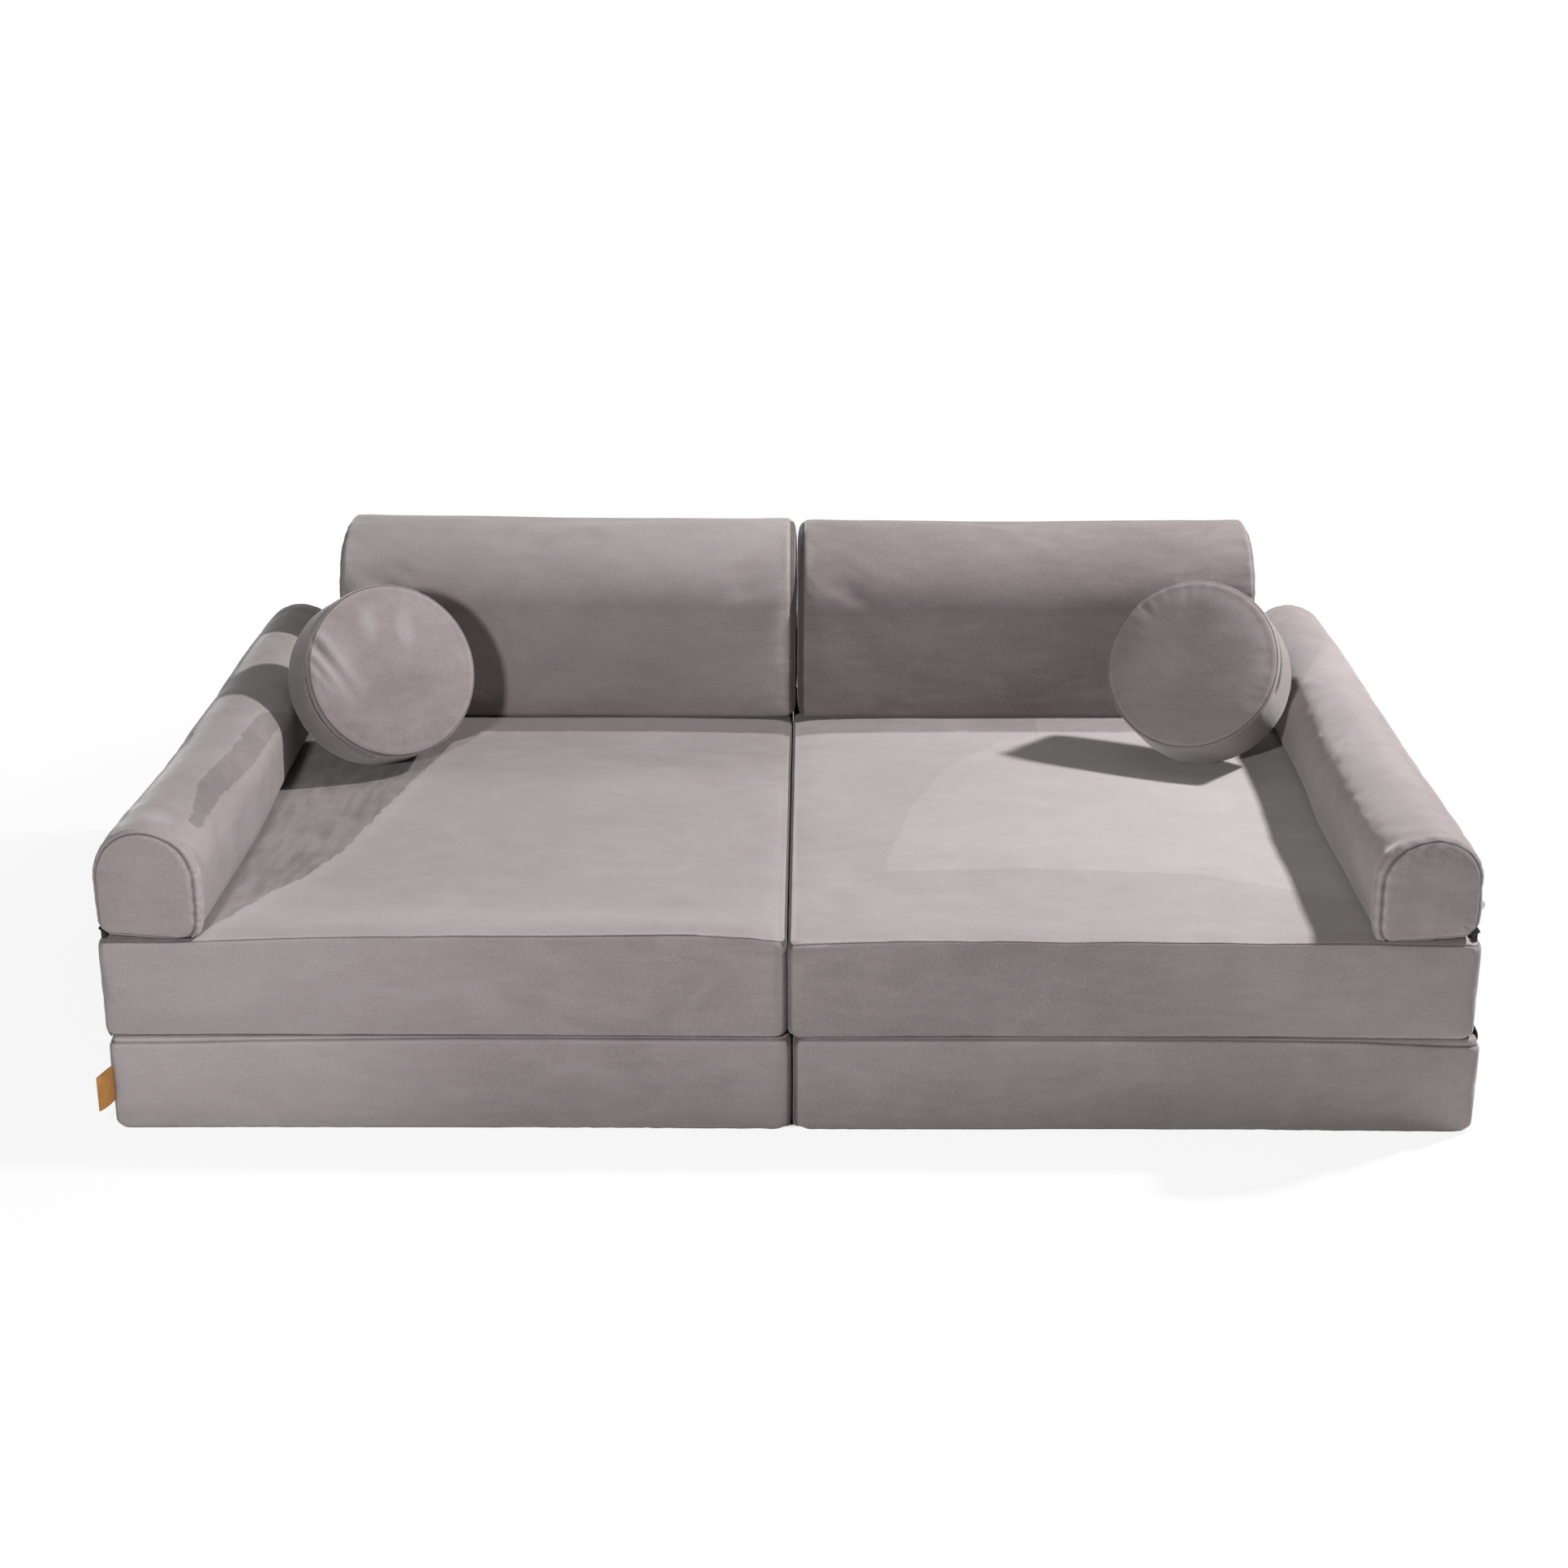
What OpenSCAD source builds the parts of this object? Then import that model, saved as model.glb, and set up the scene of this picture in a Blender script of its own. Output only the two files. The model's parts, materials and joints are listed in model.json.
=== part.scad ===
// Modular play sofa: two fold-out pairs of foam slabs, two arms, two backs and two round cushions.
// X runs to the right, Y to the rear and Z up. The origin lies on the floor under the middle.

/* [Modules] */
// Width of one module
module_w = 800; // [720:10:900]
// Depth of a module from front to rear
module_d = 1000; // [940:10:1080]
// Thickness of a slab between its top and bottom seams
slab_t = 120; // [105:5:140]
// Rise of the upper slab's top panel from its seams to its middle
seat_crown = 5; // [2:0.5:8]
// How far the left lower slab stands to the right of the upper one
left_base_shift = 2; // [-10:1:10]
// How far the right lower slab stands to the right of the upper one
right_base_shift = 9; // [2:1:10]
// How far a slab's side panels draw in between its corners
slab_draw = 2.5; // [1:0.5:3]
// Radius of a slab's upright corners
slab_corner = 12; // [6:1:16]

/* [Arms] */
// Width of an arm
arm_w = 116; // [106:2:130]
// Height of an arm, with a half-round top
arm_h = 127; // [118:1:150]
// Radius of an arm's lower edges
arm_foot_r = 22; // [18:1:26]
// How far an arm's end seam lies inside the arm's fullest outline
arm_end_in = 6; // [4:0.5:8]

/* [Backs] */
// Depth of a back from front to rear
back_d = 185; // [170:5:200]
// Height of a back
back_h = 255; // [230:5:280]
// Radius of a back's front top edge
back_r = 105; // [80:5:115]
// How far a back's front leans to the rear
back_lean = 22; // [10:1:30]
// Space between the two backs
back_gap = 8; // [4:1:16]
// Mean space between a back and the arm beside it
back_side_gap = 22; // [12:1:30]
// How far the two backs stand to the right of the middle
back_shift = 6; // [-10:1:10]

/* [Round cushions] */
// Diameter of a round cushion
round_d = 238; // [200:2:250]
// Thickness of a round cushion between its seams
round_t = 92; // [76:2:96]
// Rise of each face of a round cushion from its seam to its middle
round_crown = 7; // [4:1:10]
// Left cushion's lean from upright
left_lean = 24; // [15:1:40]
// Left cushion's turn towards the middle
left_turn = 31; // [15:1:40]
// Distance from the left cushion's middle to the front of the back behind it
left_round_ahead = 190; // [165:5:240]
// Where the left cushion's zip starts, from the side that faces the sofa's middle
left_zip_from = 48; // [0:2:90]
// Right cushion's lean from upright
right_lean = 31; // [15:1:40]
// Right cushion's turn towards the middle
right_turn = 25; // [15:1:40]
// Distance from the right cushion's middle to the front of the back behind it
right_round_ahead = 165; // [155:5:240]
// Where the right cushion's zip starts, from the side that faces the sofa's middle
right_zip_from = -6; // [-20:2:90]

/* [Covers] */
// How far a seam lies inside the fullest outline beside it
seam_in = 3.5; // [2:0.5:4]
// Width of the rounding between a seam and the panel beside it
seam_lap = 5; // [3:0.5:5]
// Thickness of cover and wadding round the foam
wrap = 9; // [9:0.5:12]
// Least thickness of the cover over the foam's broad faces
skin = 2; // [1.5:0.25:3]
// Space between pieces that rest on each other
clear = 0.3; // [0.2:0.05:0.6]

/* [Zips] */
// Width of a zip's tape
tape_w = 10; // [9:0.5:12]
// Width of a zip's closed coil
coil_w = 3; // [2.5:0.25:3.5]
// Height of a zip's coil above its tape
coil_h = 1.6; // [1.2:0.1:1.8]
// Length of a zip slider's body
slider_l = 11; // [9:0.5:14]
// Thickness of a zip slider's wall over the coil
slider_wall = 0.9; // [0.6:0.1:1]
// Width of a zip slider's pull
pull_w = 5; // [4:0.5:6]
// Length of a zip slider's pull
pull_l = 24; // [18:1:24]
// Thickness of a zip slider's pull
pull_t = 1.2; // [0.8:0.1:1.6]
// Distance from the ends of a slab's zip to the slab's sides
slab_zip_end = 100; // [60:10:200]
// Distance from the ends of a back's zip to the back's ends
back_zip_end = 52; // [40:2:120]
// Distance from the ends of an arm's zip to the arm's ends
arm_zip_end = 30; // [24:2:80]
// Height of an arm's zip above the arm's foot
arm_zip_z = 25; // [25:1:34]
// Height of a back's zip above the back's foot
back_zip_z = 30; // [26:1:60]
// Distance from a round cushion's front seam to its zip
round_zip_in = 17; // [14:1:24]
// Turn that a round cushion's zip covers
round_zip_turn = 200; // [150:5:240]
// Distance from a zip's end to its closed slider
slider_start = 24; // [12:1:40]

/* [Trim] */
// Height of the tag in the front left seam
tag_h = 44; // [30:1:55]
// How far the tag stands out of its seam
tag_out = 24; // [15:1:26]
// Thickness of the folded tag
tag_t = 1.6; // [1:0.2:3]
// How far the tag's free edge hangs lower than its sewn edge
tag_sag = 9; // [0:1:14]
// Height of the tag's middle above the floor
tag_z = 60; // [44:1:76]
// Thickness of the fabric hinge between a module's slabs
hinge_t = 1.2; // [0.8:0.1:2]
// How far the fabric hinge bulges out between the slabs
hinge_bulge = 5; // [3.5:0.5:8]
// Height of the fabric hinge's seam on the upper slab above the line where the slabs meet
hinge_up = 13; // [9:1:16]
// Height of the fabric hinge's seam on the lower slab below that line
hinge_down = 9; // [8:1:14]
// Distance from the fabric hinge's ends to the slabs' front and rear
hinge_end = 22; // [16:1:60]
// Length of the hook tab and of the loop strip that hold an arm's front end
tab_l = 30; // [16:1:60]
// Thickness of the loop strip
loop_t = 1.2; // [0.8:0.1:1.6]
// Distance from the tab to the front of the seat
tab_in = 12; // [8:1:40]

/* [Hidden] */
$fn = 96;

velvet = "#968d8b";
foam_white = "#e8e2d0";
zip_black = "#2b2a2b";
tag_tan = "#c98a3c";

// Stack of slabs: the upper one turns about the line where the two meet, at the outer side
seat_z = slab_t + clear;
fold_z = slab_t + clear / 2;
outer_x = module_w + clear / 2;
rear_y = module_d / 2;
front_y = -module_d / 2;
lap_in = seam_in + seam_lap;
crown_run = min(module_w, module_d) / 2;

// Height of the upper slab's top panel at a distance in from the slab's side
function crown_at(inset) =
    seat_crown * (1 - pow(1 - min(1, max(0, (inset - lap_in) / (crown_run - lap_in))), 2));
function seat_top(inset) = seat_z + slab_t + crown_at(inset);

function dir(a) = [cos(a), sin(a)];

// Closed skin through a stack of like rings, with a middle point at each end
module skin_solid(rings, first_mid, last_mid) {
    n = len(rings[0]);
    m = len(rings);
    points = concat([for (r = rings) each r], [first_mid, last_mid]);
    sides = [for (j = [0:m - 2], i = [0:n - 1])
        let (a = j * n + i, b = j * n + (i + 1) % n, c = b + n, d = a + n)
        each [[a, c, b], [a, d, c]]];
    first_cap = [for (i = [0:n - 1]) [m * n, i, (i + 1) % n]];
    last_cap = [for (i = [0:n - 1]) [m * n + 1, (m - 1) * n + (i + 1) % n, (m - 1) * n + i]];
    polyhedron(points, concat(sides, first_cap, last_cap), convexity = 6);
}

// Plan outline of a slab, with round corners and sides that draw in between them
function slab_ring(inset, z) =
    let (
        r = slab_corner,
        hx = module_w / 2 - inset - r,
        hy = module_d / 2 - inset - r,
        corner = [[hx, hy], [-hx, hy], [-hx, -hy], [hx, -hy]]
    )
    [for (k = [0:3]) each concat(
        [for (a = [0, 45, 90]) concat(corner[k] + r * dir(90 * k + a), z)],
        [for (t = [0.25, 0.5, 0.75]) concat(
            (1 - t) * corner[k] + t * corner[(k + 1) % 4]
            + (r - 4 * t * (1 - t) * slab_draw) * dir(90 * k + 90),
            z
        )]
    )];

// A slab's outer form, flat on top or crowned by a rise
module slab_form(rise) {
    sides = [
        [0, lap_in], [1.5, seam_in], [7, 1], [slab_t / 2, 0],
        [slab_t - 7, 1], [slab_t - 1.5, seam_in], [slab_t, lap_in]
    ];
    crown = rise > 0 ? [for (i = [40, 120, 240]) [slab_t + crown_at(i), i]] : [];
    rings = [for (s = concat(sides, crown)) slab_ring(s[1], s[0])];
    skin_solid(rings, [0, 0, 0], [0, 0, slab_t + rise]);
}
module slab_core() {
    translate([-module_w / 2 + wrap, -module_d / 2 + wrap, skin])
        cube([module_w - 2 * wrap, module_d - 2 * wrap, slab_t - 2 * skin]);
}

// The opening that a straight zip closes, from the foam's face outwards along Y
module zip_slot(length) {
    translate([-length / 2, 0, -tape_w / 2])
        cube([length, wrap + 5, tape_w]);
}

// A zip's tape and wadding end where its coil and slider stay below the drawn-in side
slider_sunk = 0.2;
tape_d = wrap - slab_draw - coil_h - slider_wall - clear - slider_sunk;

// A straight zip along X, on the foam's face at y = 0, with its coil facing Y
module straight_zip(length) {
    color(zip_black) {
        translate([-length / 2, 0, -tape_w / 2])
            cube([length, tape_d, tape_w]);
        translate([-length / 2, tape_d, -coil_w / 2])
            cube([length, coil_h, coil_w]);
    }
}

// A slider straddles a coil along X, with its pull just outside the cushion's fullest outline
slider_side = 0.8;
slider_w = tape_w - 2 * slider_side;
pull_off = 0.6;
module straight_slider() {
    reach = wrap + pull_off;
    base_y = tape_d + clear;
    color(zip_black) difference() {
        union() {
            translate([-slider_l / 2, base_y, -slider_w / 2])
                cube([slider_l, coil_h + slider_wall, slider_w]);
            translate([-pull_w / 2, base_y, -pull_w / 2])
                cube([pull_w, reach - base_y + pull_t, pull_w]);
            translate([-pull_w / 2, reach, -pull_l])
                cube([pull_w, pull_t, pull_l]);
        }
        translate([-slider_l, 0, -coil_w / 2 - clear])
            cube([2 * slider_l, tape_d + coil_h + clear, coil_w + 2 * clear]);
        translate([0, reach - 1, -pull_l + pull_w / 2])
            rotate([-90, 0, 0])
                cylinder(d = pull_w / 2, h = pull_t + 2);
    }
}

// Slabs
slab_zip_l = module_w - 2 * slab_zip_end;
module slab_zip_place() {
    translate([0, rear_y - wrap, slab_t / 2])
        children();
}
module slab_cover(rise) {
    color(velvet) difference() {
        slab_form(rise);
        slab_core();
        slab_zip_place() zip_slot(slab_zip_l);
    }
}
module slab_foam() {
    color(foam_white) slab_core();
}
module slab_zip() {
    slab_zip_place() straight_zip(slab_zip_l);
}
module slab_slider() {
    slab_zip_place()
        translate([-slab_zip_l / 2 + slider_start, 0, 0])
            straight_slider();
}

// An arm's outline across its length: flat foot, straight sides and a half-round top
arm_l = module_d;
arm_half = arm_l / 2;
arm_top_z = arm_h - arm_w / 2;
function arm_ring(inset, y) =
    let (
        r = arm_w / 2 - inset,
        f = max(arm_foot_r - inset / 2, 2),
        foot = inset * 0.6
    )
    [for (p = concat(
        [for (a = [-90:30:0]) [r - f, foot + f] + f * dir(a)],
        [for (a = [0:18:180]) [0, arm_top_z] + r * dir(a)],
        [for (a = [180:30:270]) [f - r, foot + f] + f * dir(a)]
    )) [p[0], y, p[1]]];
module arm_form() {
    front = [
        [0.4, arm_w * 0.26], [1.8, arm_end_in + 10], [4, arm_end_in + 1.5],
        [7, arm_end_in - 2], [16, 1.2], [45, 0]
    ];
    rear = [for (i = [len(front) - 1:-1:0]) [arm_l - front[i][0], front[i][1]]];
    run = concat(front, [[arm_half, 1]], rear);
    middle = [0, arm_half, arm_h * 0.46];
    skin_solid(
        [for (s = run) arm_ring(s[1], s[0] - arm_half)],
        [0, -arm_half, middle[2]], middle
    );
}

// The arm's foam has the same outline, a wrap inside the cover, with its lower edges cut off
arm_core_z = 5;
arm_core_cut = 14;
module arm_core() {
    r = arm_w / 2 - wrap;
    core_l = arm_l - 2 * wrap;
    translate([0, core_l / 2, 0])
        rotate([90, 0, 0])
            linear_extrude(height = core_l)
                union() {
                    translate([0, arm_top_z])
                        circle(r = r);
                    polygon([
                        [-r + arm_core_cut, arm_core_z], [r - arm_core_cut, arm_core_z],
                        [r, arm_core_z + arm_core_cut], [r, arm_top_z],
                        [-r, arm_top_z], [-r, arm_core_z + arm_core_cut]
                    ]);
                }
}

// The arm's zip runs low along its outer side, closed at the front
arm_zip_l = arm_l - 2 * arm_zip_end;
module arm_zip_place() {
    translate([-arm_w / 2 + wrap, 0, arm_zip_z])
        rotate([0, 0, 90])
            children();
}
module arm_cover() {
    color(velvet) difference() {
        arm_form();
        arm_core();
        arm_zip_place() zip_slot(arm_zip_l);
    }
}
module arm_foam() {
    color(foam_white) arm_core();
}
module arm_zip() {
    arm_zip_place() straight_zip(arm_zip_l);
}
module arm_slider() {
    arm_zip_place()
        translate([-arm_zip_l / 2 + slider_start, 0, 0])
            straight_slider();
}

// A back's outline across its width: upright rear, flat top and foot, leaning front, large round edge
back_w = outer_x - arm_w - back_side_gap - back_gap / 2;
back_half = back_w / 2;
back_corner = 8;
function back_ring(inset, x) =
    let (
        c = back_corner,
        y1 = back_d - inset,
        z1 = back_h - inset
    )
    [for (p = concat(
        [for (a = [-90, -45, 0]) [y1 - c, inset + c] + c * dir(a)],
        [for (a = [0, 45, 90]) [y1 - c, z1 - c] + c * dir(a)],
        [for (a = [90:15:180]) [back_lean + back_r, back_h - back_r] + (back_r - inset) * dir(a)],
        [for (a = [180, 225, 270]) [inset + c, inset + c] + c * dir(a)]
    )) [x, p[0], p[1]]];
module back_form() {
    right_end = [[0.4, 40], [1.6, 14], [3, lap_in - 2], [6, 1.5], [20, 0], [80, 0]];
    left_end = [for (i = [len(right_end) - 1:-1:0]) [back_w - right_end[i][0], right_end[i][1]]];
    run = concat(right_end, [[back_half, 1.2]], left_end);
    middle = [back_half, back_d * 0.54, back_h * 0.47];
    skin_solid(
        [for (s = run) back_ring(s[1], s[0] - back_half)],
        [-back_half, middle[1], middle[2]], middle
    );
}
module back_core() {
    core_w = back_w - 2 * wrap;
    translate([-core_w / 2, 0, 0])
        rotate([90, 0, 90])
            linear_extrude(height = core_w)
                union() {
                    intersection() {
                        translate([back_lean + back_r, back_h - back_r])
                            circle(r = back_r - wrap);
                        translate([back_lean, back_h - back_r])
                            square([back_r, back_r]);
                    }
                    polygon([
                        [wrap + 2, wrap], [back_d - wrap, wrap], [back_d - wrap, back_h - wrap],
                        [back_lean + back_r, back_h - wrap], [back_lean + wrap, back_h - back_r]
                    ]);
                }
}

// The back's zip runs low along its rear
back_zip_l = back_w - 2 * back_zip_end;
module back_zip_place() {
    translate([0, back_d - wrap, back_zip_z])
        children();
}
module back_cover() {
    color(velvet) difference() {
        back_form();
        back_core();
        back_zip_place() zip_slot(back_zip_l);
    }
}
module back_foam() {
    color(foam_white) back_core();
}
module back_zip() {
    back_zip_place() straight_zip(back_zip_l);
}
module back_slider() {
    back_zip_place()
        translate([-back_zip_l / 2 + slider_start, 0, 0])
            straight_slider();
}

// Outline of a round cushion, radius against height, from one face's middle to the other's
round_r = round_d / 2;
seam_z = round_t / 2;
face_half = [
    [0, seam_z + round_crown], [round_r * 0.4, seam_z + round_crown * 0.88],
    [round_r * 0.75, seam_z + round_crown * 0.5], [round_r - lap_in, seam_z + 1],
    [round_r - seam_in, seam_z - 0.8], [round_r - 1, seam_z - 7]
];
round_outline = concat(
    face_half,
    [[round_r, 0]],
    [for (i = [len(face_half) - 1:-1:0]) [face_half[i][0], -face_half[i][1]]]
);
module round_core() {
    cylinder(r = round_r - wrap, h = round_t - 2 * skin - 2, center = true);
}

// The round cushion's zip lies in its band, behind the front seam
round_zip_z = seam_z - round_zip_in;
round_tape_d = wrap - coil_h - slider_wall - clear - 1;
coil_r = round_r - wrap + round_tape_d;
module round_zip_place(from) {
    translate([0, 0, round_zip_z])
        rotate([0, 0, from])
            children();
}
module band_ring(r1, r2, w) {
    rotate_extrude(angle = round_zip_turn)
        translate([r1, -w / 2])
            square([r2 - r1, w]);
}
module round_cover(from) {
    color(velvet) difference() {
        rotate_extrude()
            polygon(round_outline);
        round_core();
        round_zip_place(from) band_ring(round_r - wrap, round_r + 5, tape_w);
    }
}
module round_foam() {
    color(foam_white) round_core();
}
module round_zip(from) {
    color(zip_black) round_zip_place(from) {
        band_ring(round_r - wrap, coil_r, tape_w);
        band_ring(coil_r, coil_r + coil_h, coil_w);
    }
}
module round_slider(from) {
    base_x = coil_r + clear + 0.3;
    pull_x = round_r + pull_off;
    turn = slider_start / round_r * 180 / PI;
    color(zip_black) round_zip_place(from) rotate([0, 0, turn]) difference() {
        union() {
            translate([base_x, -slider_l / 2, -slider_w / 2])
                cube([coil_h + slider_wall, slider_l, slider_w]);
            translate([base_x, -pull_w / 2, -pull_w / 2])
                cube([pull_x - base_x + pull_t, pull_w, pull_w]);
            translate([pull_x, -pull_w / 2, -pull_l])
                cube([pull_t, pull_w, pull_l]);
        }
        rotate_extrude()
            translate([coil_r - 1, -coil_w / 2 - clear])
                square([coil_h + 1 + clear, coil_w + 2 * clear]);
        translate([pull_x - 1, 0, -pull_l + pull_w / 2])
            rotate([0, 90, 0])
                cylinder(d = pull_w / 2, h = pull_t + 2);
    }
}

// Reach of a leaning round cushion from its middle, along a direction with cosine c to its axis
function round_reach(c) = max([for (p = round_outline) p[0] * sqrt(1 - c * c) + abs(p[1] * c)]);

// A round cushion stands on its lower rim, beside the arm
arm_inner_x = outer_x - arm_w;
module round_place(lean, turn, ahead) {
    side_reach = round_reach(sin(turn) * cos(lean));
    rest = seat_top(arm_w + side_reach) + clear;
    translate([
        -arm_inner_x + clear + side_reach,
        rear_y - back_d - ahead,
        rest + round_reach(sin(lean))
    ])
        rotate([90 - lean, 0, turn])
            children();
}
module left_round_place() {
    round_place(left_lean, left_turn, left_round_ahead) children();
}
module right_round_place() {
    right_side() round_place(right_lean, right_turn, right_round_ahead) children();
}

// Places of the other cushions on the left side. The right side mirrors them, and their shifts.
module base_place(shift) {
    translate([-module_w / 2 - clear / 2 + shift, 0, 0])
        children();
}
module seat_place() {
    translate([-module_w / 2 - clear / 2, 0, seat_z])
        children();
}
arm_z = seat_top(arm_w) + clear;
module arm_place() {
    translate([-outer_x + arm_w / 2, 0, arm_z])
        children();
}
module back_place(shift) {
    translate([-back_gap / 2 - back_half + shift, rear_y - back_d, seat_top(back_d) + clear])
        children();
}
module right_side() {
    mirror([1, 0, 0])
        children();
}

// The fabric hinge is a strip sewn to both slabs, which bulges out of the joint between them.
// Its points are given by height over that joint and by how far they stand out of the line
// from the lower slab's side, which is shifted, to the upper slab's side.
hinge_l = module_d - 2 * hinge_end;
hinge_mid = 1.5;
hinge_low_off = 0.8;
hinge_high_off = 0.4;
module hinge_fabric(shift) {
    b = hinge_bulge;
    t = hinge_t;
    function at(z, out) = [shift * (hinge_up - z) / (hinge_up + hinge_down) - out, z];
    color(velvet)
        translate([-outer_x, hinge_l / 2, fold_z])
            rotate([90, 0, 0])
                linear_extrude(height = hinge_l)
                    polygon([
                        at(-hinge_down, -hinge_low_off), at(-hinge_down, t - hinge_low_off),
                        at(-hinge_down * 0.4, b * 0.6), at(hinge_mid, b), at(hinge_up * 0.6, b * 0.8),
                        at(hinge_up, hinge_high_off + t), at(hinge_up, hinge_high_off),
                        at(hinge_up * 0.58, b * 0.8 - t), at(hinge_mid, b - t),
                        at(-hinge_down * 0.4, b * 0.6 - t)
                    ]);
}

// A loop strip lies on the arm's lower outer edge, and a hook tab stands on the seat below it
edge_high = arm_foot_r * [1 - cos(30), 1 - sin(30)];
edge_low = [edge_high[1], edge_high[0]];
strip_off = 0.05;
strip_near = [1, 1] * strip_off * sqrt(0.5);
strip_far = [1, 1] * (strip_off + loop_t) * sqrt(0.5);
module front_edge_bar() {
    translate([-outer_x, front_y + tab_in + tab_l, 0])
        rotate([90, 0, 0])
            linear_extrude(height = tab_l)
                children();
}
module loop_strip() {
    color(zip_black)
        translate([0, 0, arm_z])
            front_edge_bar()
                polygon([
                    edge_high - strip_near, edge_low - strip_near,
                    edge_low - strip_far, edge_high - strip_far
                ]);
}
module hook_tab() {
    x1 = edge_high[0] + 2;
    x2 = edge_low[0];
    slope = edge_high[0] + edge_high[1] - 2 * strip_far[0] - clear * sqrt(2);
    foot = seat_top(x2) + strip_off;
    color(zip_black)
        front_edge_bar()
            polygon([[x1, foot], [x2, foot], [x2, arm_z + slope - x2], [x1, arm_z + slope - x1]]);
}

// The folded tag stands out of the front left upright seam and hangs a little at its free edge
module side_tag() {
    seam = slab_corner * (1 - cos(45)) - 0.1;
    edge_x = -outer_x + left_base_shift + seam;
    fold = tag_out * cos(45);
    n = tag_t / 2 * cos(45);
    function leaf(out, z) = [
        [edge_x - out - n, front_y + seam - out + n, z],
        [edge_x - out + n, front_y + seam - out - n, z]
    ];
    low = tag_z - tag_h / 2;
    points = concat(
        leaf(0, low), leaf(fold, low - tag_sag),
        leaf(0, low + tag_h), leaf(fold, low + tag_h - tag_sag)
    );
    color(tag_tan)
        polyhedron(points, [
            [0, 1, 3, 2], [4, 6, 7, 5], [0, 4, 5, 1], [2, 3, 7, 6], [0, 2, 6, 4], [1, 5, 7, 3]
        ]);
}

base_place(left_base_shift) slab_cover(0);  // left_base_cover
base_place(left_base_shift) slab_foam();  // left_base_foam
base_place(left_base_shift) slab_zip();  // left_base_zip
base_place(left_base_shift) slab_slider();  // left_base_slider
seat_place() slab_cover(seat_crown);  // left_seat_cover
seat_place() slab_foam();  // left_seat_foam
seat_place() slab_zip();  // left_seat_zip
seat_place() slab_slider();  // left_seat_slider
arm_place() arm_cover();  // left_arm_cover
arm_place() arm_foam();  // left_arm_foam
arm_place() arm_zip();  // left_arm_zip
arm_place() arm_slider();  // left_arm_slider
back_place(back_shift) back_cover();  // left_back_cover
back_place(back_shift) back_foam();  // left_back_foam
back_place(back_shift) back_zip();  // left_back_zip
back_place(back_shift) back_slider();  // left_back_slider
left_round_place() round_cover(left_zip_from);  // left_round_cover
left_round_place() round_foam();  // left_round_foam
left_round_place() round_zip(left_zip_from);  // left_round_zip
left_round_place() round_slider(left_zip_from);  // left_round_slider
hinge_fabric(left_base_shift);  // left_hinge_fabric
hook_tab();  // left_hook_tab
loop_strip();  // left_loop_strip
right_side() base_place(-right_base_shift) slab_cover(0);  // right_base_cover
right_side() base_place(-right_base_shift) slab_foam();  // right_base_foam
right_side() base_place(-right_base_shift) slab_zip();  // right_base_zip
right_side() base_place(-right_base_shift) slab_slider();  // right_base_slider
right_side() seat_place() slab_cover(seat_crown);  // right_seat_cover
right_side() seat_place() slab_foam();  // right_seat_foam
right_side() seat_place() slab_zip();  // right_seat_zip
right_side() seat_place() slab_slider();  // right_seat_slider
right_side() arm_place() arm_cover();  // right_arm_cover
right_side() arm_place() arm_foam();  // right_arm_foam
right_side() arm_place() arm_zip();  // right_arm_zip
right_side() arm_place() arm_slider();  // right_arm_slider
right_side() back_place(-back_shift) back_cover();  // right_back_cover
right_side() back_place(-back_shift) back_foam();  // right_back_foam
right_side() back_place(-back_shift) back_zip();  // right_back_zip
right_side() back_place(-back_shift) back_slider();  // right_back_slider
right_round_place() round_cover(right_zip_from);  // right_round_cover
right_round_place() round_foam();  // right_round_foam
right_round_place() round_zip(right_zip_from);  // right_round_zip
right_round_place() round_slider(right_zip_from);  // right_round_slider
right_side() hinge_fabric(-right_base_shift);  // right_hinge_fabric
right_side() hook_tab();  // right_hook_tab
right_side() loop_strip();  // right_loop_strip
side_tag();
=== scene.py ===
"""Looks of the modular play sofa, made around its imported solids.

Metres throughout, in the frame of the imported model. A cushion's own outline is written in
millimetres, with the same names and values as in the part's source.
"""
import json
import math
import bmesh
import bpy
import numpy as np
from mathutils import Matrix, Vector, kdtree, noise


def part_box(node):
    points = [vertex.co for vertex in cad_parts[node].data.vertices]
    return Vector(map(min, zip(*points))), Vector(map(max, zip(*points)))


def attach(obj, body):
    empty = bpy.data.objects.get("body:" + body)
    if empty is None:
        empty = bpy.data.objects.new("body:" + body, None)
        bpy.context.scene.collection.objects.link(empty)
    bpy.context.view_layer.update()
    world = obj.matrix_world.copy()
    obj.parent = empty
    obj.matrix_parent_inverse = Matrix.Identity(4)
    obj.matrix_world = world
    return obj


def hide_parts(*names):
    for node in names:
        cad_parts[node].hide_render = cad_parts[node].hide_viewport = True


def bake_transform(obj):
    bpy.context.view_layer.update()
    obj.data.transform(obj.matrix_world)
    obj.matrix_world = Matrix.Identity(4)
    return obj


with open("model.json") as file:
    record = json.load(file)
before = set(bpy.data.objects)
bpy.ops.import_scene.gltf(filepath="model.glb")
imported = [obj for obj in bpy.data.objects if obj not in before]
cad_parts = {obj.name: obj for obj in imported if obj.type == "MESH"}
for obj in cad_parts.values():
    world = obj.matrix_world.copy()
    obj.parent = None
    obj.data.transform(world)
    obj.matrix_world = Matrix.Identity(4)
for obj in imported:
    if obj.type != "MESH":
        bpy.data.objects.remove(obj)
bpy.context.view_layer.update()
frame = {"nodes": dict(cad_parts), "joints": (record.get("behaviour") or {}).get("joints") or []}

MM = 0.001
SIDES = {-1: "left", 1: "right"}


def lengths(vectors):
    return np.linalg.norm(vectors, axis=-1)


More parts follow.
